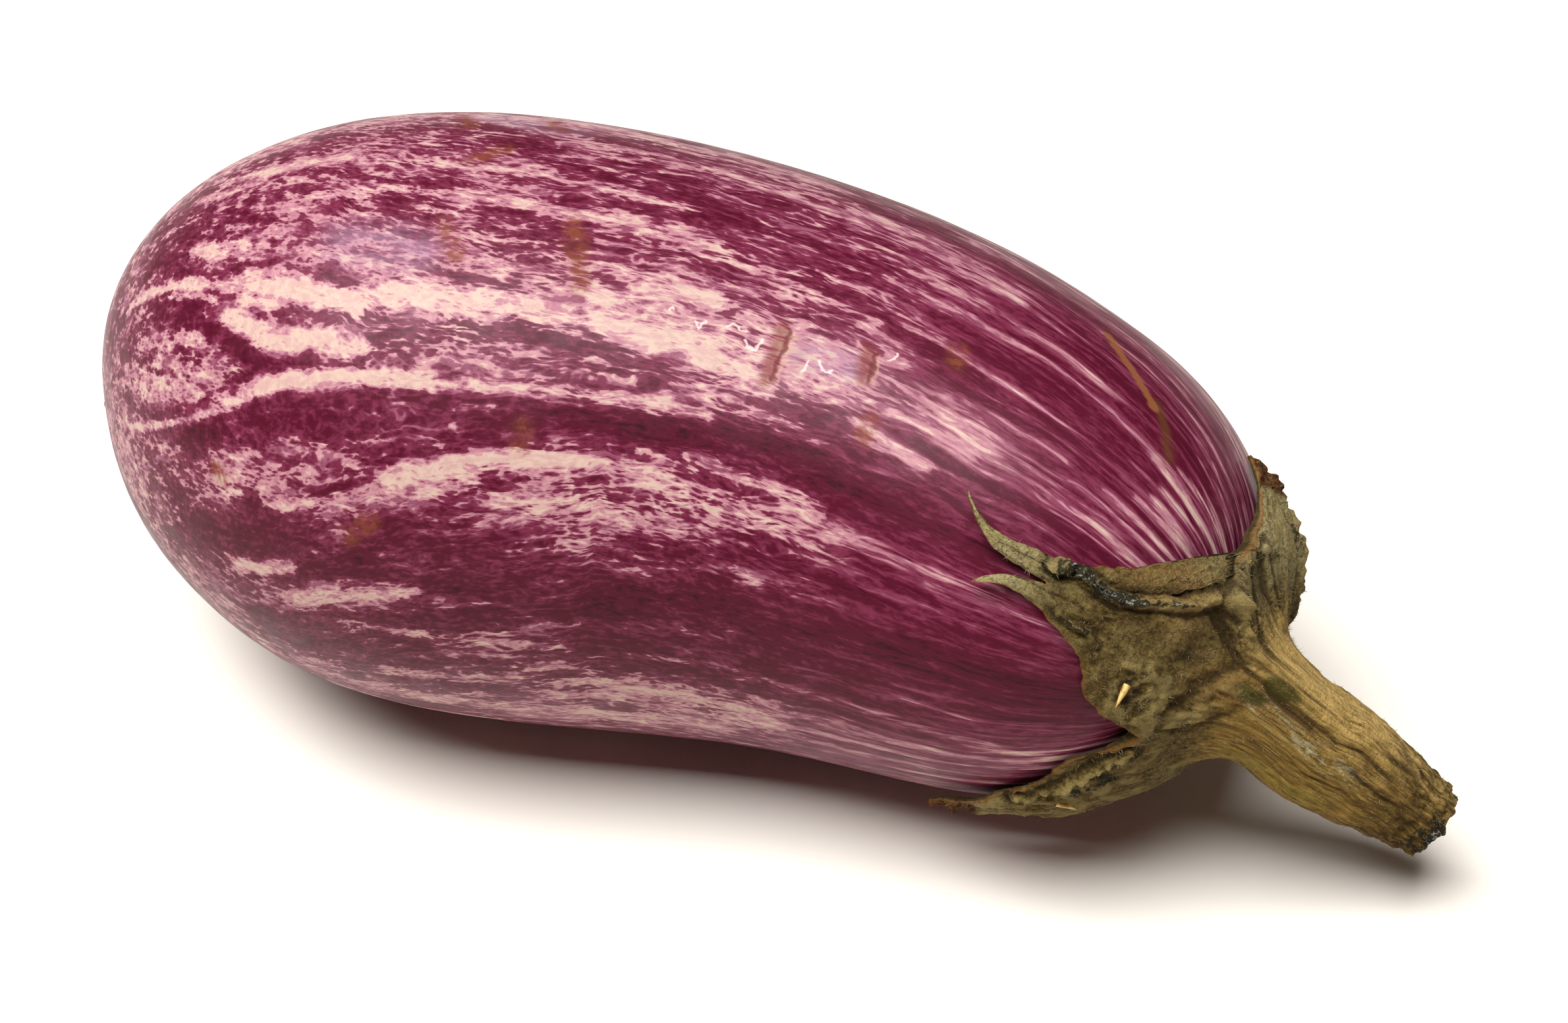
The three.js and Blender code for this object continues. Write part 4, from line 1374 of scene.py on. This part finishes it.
# %% The stem's wood
STEM_ROWS, STEM_SIDES = 130, 240

stem_travel = np.linspace(NECK, stem_length, STEM_ROWS)
travel_rows, side_angles = np.meshgrid(stem_travel, all_round(STEM_SIDES), indexing="ij")
wood = stem_points(travel_rows, side_angles, stem_girth(travel_rows))
wood[0] = stem_points(travel_rows[0], side_angles[0], np.full(STEM_SIDES, NECK_RADIUS))
wood_normals = -grid_normals(wood)
if (wood_normals[5] * (wood[5] - wood[5].mean(0))).sum() < 0:
    wood_normals = -wood_normals
along_wood = travel_rows - NECK
near_cut = smooth(stem_length - 12, stem_length - 0.5, travel_rows)
lumps = 0.9 * ridged(wood, 2.2, 15, 0.3) + 0.45 * noise_at(wood, 1.1, 16) + 0.22 * noise_at(wood, 0.6, 27)
wood_height = wood_relief(side_angles, along_wood) + lumps * near_cut
wood = wood + wood_normals * wood_height[..., None]
print("wood relief, mm:", wood_height.min().round(2), "to", wood_height.max().round(2))

# %% [markdown]
# The cut has dried since: its rim stands up rough, the middle sinks, and mould sits round the
# edge. It is made of rings that shrink towards the middle. A boolean cut would be flat and
# would leave long thin faces, and there would be no points in it to roughen.

# %% The rough cut
CUT_ROWS = 14
RIM_RISE, MIDDLE_SINK, CUT_BACK = 0.7, 0.5, 0.35  # mm

cut_centre, cut_along, _, _ = stem_frame(np.array(stem_length))
inner = np.linspace(1, 0.05, CUT_ROWS)[:, None, None]
cut = cut_centre + (wood[-1] - cut_centre) * inner
bulge = RIM_RISE * smooth(1.0, 0.8, inner[..., 0]) - MIDDLE_SINK * smooth(0.55, 0.1, inner[..., 0])
rough = 0.7 * noise_at(cut, 1.6, 17) + 0.45 * noise_at(cut, 0.7, 18)
cut = cut + cut_along * (bulge + rough - CUT_BACK)[..., None]
wood[-1] = cut[0]
cut_face = cut[1:]

stem_rows = np.concatenate([wood, cut_face])
stem_all = with_ends(stem_rows, neck_centre, cut[-1].mean(0)) + shift
stem_limit = cad_box[1][0] / MM - CLEARANCE
print("stem reaches x =", stem_all[:, 0].max().round(2), "of", round(stem_limit, 2))
stem_all[:, 0] = np.minimum(stem_all[:, 0], stem_limit)

# %% Readings for the wood's finish, and the stem itself
def stem_reading(wood_values, cut_values):
    filled = np.concatenate([wood_values, np.broadcast_to(cut_values, cut_face.shape[:2])])
    return with_ends(filled, 0.0, filled[-1].mean())


cut_fibres = (fibre_places(side_angles[:1], along_wood[-1:]) * inner[1:]
              + (cut_face - cut_face.mean(1, keepdims=True)) * 0.2)
stem_fibres = np.concatenate([fibre_places(side_angles, along_wood), cut_fibres])
stem_tints = np.concatenate([wood_tints(side_angles, along_wood), np.zeros(cut_face.shape)])
mouldy_side = 0.35 + 0.65 * bell(angle_gap(side_angles[:1], 160), 38)
ragged_travel = travel_rows + 2.2 * noise_at(wood, 2.0, 28)
side_mould = mouldy_side * smooth(stem_length - 5.5, stem_length - 0.5, ragged_travel)
stem = mesh_piece("woody_stem", stem_all, ring_faces(len(stem_rows), STEM_SIDES), {
    "fibres": with_ends(stem_fibres, BLANK, BLANK),
    "tints": with_ends(stem_tints, BLANK, BLANK),
    "woody": stem_reading(np.ones(wood_height.shape), 1.0),
    "bruise": stem_reading(bruises(side_angles, along_wood), 0.0),
    "aged": stem_reading(smooth(stem_length - 16, stem_length - 6, travel_rows), 0.6),
    "cut_face": stem_reading(np.zeros(wood_height.shape), 1.0),
    "mould": stem_reading(side_mould, mouldy_side * bell(inner[1:, :, 0] - 0.85, 0.22)),
    # painted shade: darker in the wood's furrows
    "hollow_shade": stem_reading(np.clip(0.35 - wood_height, 0, 1), 0.3),
})
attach(stem, "root")
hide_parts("stem")

# %% [markdown]
# ## The finish of leaf and wood
# The dried leaf is felted: a mat of tiny hairs over olive-brown skin, greyer where the hairs
# are thick, with painted shade darkening its folds and hollows and a painted highlight on its
# raised parts. The wood is tan with brown grooves, darkened further by painted shade. Since one
# grows out of the other, a single recipe makes both, and the woody reading decides how much of
# each shows.
# That keeps the joint between the two meshes from showing as a change of colour. Each recipe
# is a stack of thin coats, as a painter would glaze them: how much of a coat shows comes from
# a noise, from a reading, or from both.

# %% The felt of the leaf
def masked(mask, value, start, stop, low, high):
    """A reading, broken up by a noise value."""
    return times(mask, ramp_up(value, start, stop, low, high))


def thin_lines(place, scale):
    """Close to 0 on thin wandering lines: the places where a noise crosses its middle."""
    crossing = maths("SUBTRACT", grained(place, scale, 3.0, 0.6), 0.5)
    return maths("ABSOLUTE", crossing)


def leaf_coats(tree, here, fibres, felt, hollow_shade):
    hairs = grained(stretched(fibres, 0.25), 2.4, 3.0, 0.6)
    patches = grained(here, 0.3, 4.0, 0.65)
    return layered(two_tones(felt, 0.34, 0.66, "30230C", "5A4820"), [
        (ramp_up(patches, 0.42, 0.66, 0.0, 0.65), "6A5A34"),
        (masked(reading(tree, "tan"), felt, 0.3, 0.65, 0.3, 0.9), "7A5C30"),
        (masked(reading(tree, "faded"), felt, 0.2, 0.65, 0.35, 0.95), "948860"),
        (ramp_up(hairs, 0.52, 0.72, 0.0, 0.5), "80713F"),
        (ramp_up(thin_lines(here, 0.55), 0.035, 0.0, 0.0, 0.6), "241A0A"),
        # painted shade in hollows and creases, then a painted highlight on raised parts
        (ramp_up(hollow_shade, 0.45, 0.9, 0.0, 0.7), "251807"),
        (ramp_up(hollow_shade, 0.28, 0.0, 0.0, 0.5), "857547"),
    ])


# %% The grain of the wood
def wood_coats(tree, fibres, felt, grain, strands, hollow_shade):
    bands = grained(stretched(fibres, 0.07), 0.4, 3.0)
    cracks = thin_lines(stretched(fibres, 0.11), 1.2)
    crust = grained(stretched(fibres, 0.4), 1.1, 4.0, 0.7)
    tints = in_three(reading(tree, "tints", "Vector"))
    return layered(two_tones(grain, 0.36, 0.62, "442E0E", "7A5E29"), [
        (ramp_up(strands, 0.5, 0.68, 0.0, 0.6), "9E8348"),
        (ramp_up(bands, 0.46, 0.66, 0.0, 0.45), "947938"),
        (masked(reading(tree, "tan"), grain, 0.3, 0.6, 0.3, 0.9), "63431A"),
        # painted light: the top of the wood is paler
        (masked(tints["X"], grain, 0.3, 0.6, 0.25, 0.85), "C6A664"),
        (masked(tints["Y"], strands, 0.35, 0.6, 0.2, 0.8), "756C28"),
        (masked(tints["Z"], crust, 0.48, 0.62, 0.0, 0.7), "A29A78"),
        (ramp_up(cracks, 0.03, 0.0, 0.0, 0.5), "2C1D08"),
        # painted shade in the wood's furrows
        (ramp_up(hollow_shade, 0.42, 0.85, 0.0, 0.75), "2E1F09"),
        (masked(reading(tree, "bruise"), felt, 0.3, 0.6, 0.65, 0.95), "3D3912"),
        (masked(reading(tree, "aged"), crust, 0.62, 0.38, 0.35, 0.9), "362508"),
    ])


# %% One recipe for felt and wood
def plant_finish(name):
    finish, tree, shader = new_finish(name)
    fibres, here = reading(tree, "fibres", "Vector"), object_place(tree)
    woody, hollow_shade = reading(tree, "woody"), reading(tree, "hollow_shade")
    felt = grained(here, 1.7, 4.0, 0.7)
    grain = grained(stretched(fibres, 0.1), 1.7, 4.0, 0.7)
    strands = grained(stretched(fibres, 0.12), 3.0, 2.0, 0.6)

    soft_edge = summed(woody, about_middle(felt, 0.9))
    mixed = blend(ramp_up(soft_edge, 0.15, 0.6), leaf_coats(tree, here, fibres, felt, hollow_shade),
                  wood_coats(tree, fibres, felt, grain, strands, hollow_shade))
    fluff = summed(times(felt, 0.8), times(grain, 0.4), times(strands, 0.3))
    bump = node("Bump", Height=fluff, Strength=0.9, Distance=0.0007)
    tree.links.new(bump.outputs[0], shader.inputs["Normal"])
    shader.inputs["Roughness"].default_value = 0.88
    shader.inputs["Specular IOR Level"].default_value = 0.15
    return finish, tree, shader, mixed, here, felt


# %% [markdown]
# Mould grew in the folds of the leaf and round the cut: black specks with a few grey-white
# tufts. A speckle is a noise with a hard threshold, and here it is only let through where the
# mould reading is high.

# %% Mould specks
def with_mould(tree, base, here):
    mould = reading(tree, "mould")
    black = summed(times(grained(here, 1.1, 4.0, 0.75), 1.3), times(mould, 0.5))
    tufts = summed(grained(here, 1.9, 3.0, 0.7), times(mould, 0.3))
    return layered(base, [
        (ramp_up(black, 0.88, 1.04, 0.0, 0.9), "16150F"),
        (ramp_up(tufts, 0.83, 0.9, 0.0, 0.85), "8A8D84"),
    ])


# %% [markdown]
# The leaf's own finish adds the brown of its two dry tips and the orange-brown margin. The
# wood's own finish adds the pale pith that shows in the cut.

# %% Leaf finish with its dry tips
leaf_finish, leaf_tree, leaf_shader, mixed, here, felt = plant_finish("felted_leaf")
dry_edge = summed(reading(leaf_tree, "dry"), about_middle(felt, 0.5))
dried = two_tones(felt, 0.4, 0.62, "2A1709", "5C3A1A")
mixed = blend(ramp_up(dry_edge, 0.25, 0.6), mixed, dried)
mixed = layered(mixed, [(times(reading(leaf_tree, "rim"), 0.8), "663D16")])
leaf_tree.links.new(with_mould(leaf_tree, mixed, here), leaf_shader.inputs["Base Color"])
calyx.data.materials.append(leaf_finish)
print("leaf finish has", len(leaf_tree.nodes), "nodes")

# %% Wood finish with its cut face
wood_finish, wood_tree, wood_shader, mixed, here, _ = plant_finish("dried_wood")
pith = two_tones(grained(here, 1.4, 3.0, 0.7), 0.35, 0.65, "402F15", "917B4E")
mixed = blend(reading(wood_tree, "cut_face"), mixed, pith)
wood_tree.links.new(with_mould(wood_tree, mixed, here), wood_shader.inputs["Base Color"])
stem.data.materials.append(wood_finish)
print("wood finish has", len(wood_tree.nodes), "nodes")

# %% [markdown]
# ## Prickles and down
# Three pale prickles stand on the calyx. Each is a slim cone that leans over the leaf. A cone
# primitive could be turned and sunk into place, but building it from a few shrinking rings
# round a line from its foot to where it leans gives the same with less to adjust.

# %% Prickles
PRICKLES = [  # foot and the place it leans to, as angle and distance on the map, and half width in mm
    ((154.2, 21.4), (160.5, 22.6), 0.55), ((209.5, 28.5), (212, 26.0), 0.45), ((305, 20), (308, 23), 0.5),
]
PRICKLE_RINGS, PRICKLE_SIDES = 7, 9
LONG = 6.0  # times the half width
LEAN = 0.45  # how much a prickle points straight out, against 1 along the leaf
SUNK, TIP_RADIUS = 0.6, 0.03  # mm
LEAF_DEGREE = 0.263  # millimetres of leaf to a degree, near the collar


def on_leaf(angle, distance):
    """The point of the finished leaf that is nearest to a place on the map."""
    gaps = np.hypot(LEAF_DEGREE * angle_gap(map_angle, angle), map_distance - distance)
    return outside_fine.reshape(-1, 3)[np.argmin(gaps)]


def out_of_skin(angle, distance):
    share, turn = share_at(np.array([distance], float)), np.array([angle], float)
    return Vector((above(share, turn, np.array([3.0])) - above(share, turn, np.array([2.0])))[0])


# %% Rings of the prickles
prickle_points, prickle_faces = [], []
for foot_place, lean_place, thickness in PRICKLES:
    foot, lean_to, normal = on_leaf(*foot_place), on_leaf(*lean_place), out_of_skin(*foot_place)
    axis = (Vector(lean_to - foot).normalized() + LEAN * normal).normalized()
    sideways = axis.cross(normal).normalized()
    across = axis.cross(sideways).normalized()
    first = len(prickle_points)
    for i, part in enumerate(np.linspace(0, 1, PRICKLE_RINGS)):
        middle = Vector(foot) + axis * (LONG * thickness * part - SUNK) + normal * 0.1
        radius = thickness * (1 - part) ** 0.8 + TIP_RADIUS
        for k in range(PRICKLE_SIDES):
            turn = 2 * math.pi * k / PRICKLE_SIDES
            prickle_points.append(middle + (sideways * math.cos(turn) + across * math.sin(turn)) * radius)
            if i:
                below = first + PRICKLE_SIDES * (i - 1)
                a, b = below + k, below + (k + 1) % PRICKLE_SIDES
                prickle_faces.append((a, b, b + PRICKLE_SIDES, a + PRICKLE_SIDES))
    last = first + PRICKLE_SIDES * (PRICKLE_RINGS - 1)
    prickle_faces += [tuple(range(start, start + PRICKLE_SIDES)) for start in (first, last)]
prickles = mesh_piece("calyx_prickles", np.array(prickle_points) + shift, prickle_faces)
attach(prickles, "root")

# %% [markdown]
# Both the horn of the prickles and the down need only a soft mottle between two tones, so one
# short recipe serves both.

# %% Horn
def mottled(piece, name, scale, low_code, high_code, roughness):
    finish, tree, shader = new_finish(name)
    mottle = two_tones(grained(object_place(tree), scale), 0.35, 0.65, low_code, high_code)
    tree.links.new(mottle, shader.inputs["Base Color"])
    shader.inputs["Roughness"].default_value = roughness
    piece.data.materials.append(finish)


mottled(prickles, "prickle_horn", 1.1, "956B2C", "C1A25E", 0.5)

# %% [markdown]
# The leaf and the young part of the stem are downy. Real hair tools don't travel to other
# programs, so each hair here is one slim triangle, planted at a random place of the mesh and
# leaning out of it. A few thousand of them soften the outline.

# %% Down
HAIR_HALF_WIDTH, HAIR_ROOT = 0.035, 0.05  # mm
LEAF_HAIRS, WOOD_HAIRS = (5200, 0.9), (1500, 0.7)  # how many, and how long in mm
pick = np.random.default_rng(21)


def hairs_on(grid, normals, count, length):
    row = pick.integers(1, grid.shape[0] - 1, count)
    column = pick.integers(0, grid.shape[1], count)
    foot, normal = grid[row, column], normals[row, column]
    lean = unit(normal * 0.75 + pick.normal(0, 0.5, (count, 3)))
    wide = unit(np.cross(lean, pick.normal(0, 1, (count, 3)))) * HAIR_HALF_WIDTH
    tip = foot + lean * pick.uniform(0.4, 1.0, (count, 1)) * length
    root = foot - HAIR_ROOT * normal
    return np.stack([root - wide, root + wide, tip], 1).reshape(-1, 3)


leaf_hairs = hairs_on(outside_fine, outside_normals, *LEAF_HAIRS)
wood_hairs = hairs_on(wood, wood_normals, *WOOD_HAIRS)
hair_points = np.vstack([leaf_hairs, wood_hairs]) + shift
hair_points[:, 0] = np.minimum(hair_points[:, 0], stem_limit)
down = mesh_piece("calyx_down", hair_points, np.arange(len(hair_points)).reshape(-1, 3).tolist())
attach(down, "root")
mottled(down, "pale_down", 0.4, "645630", "887C59", 0.8)
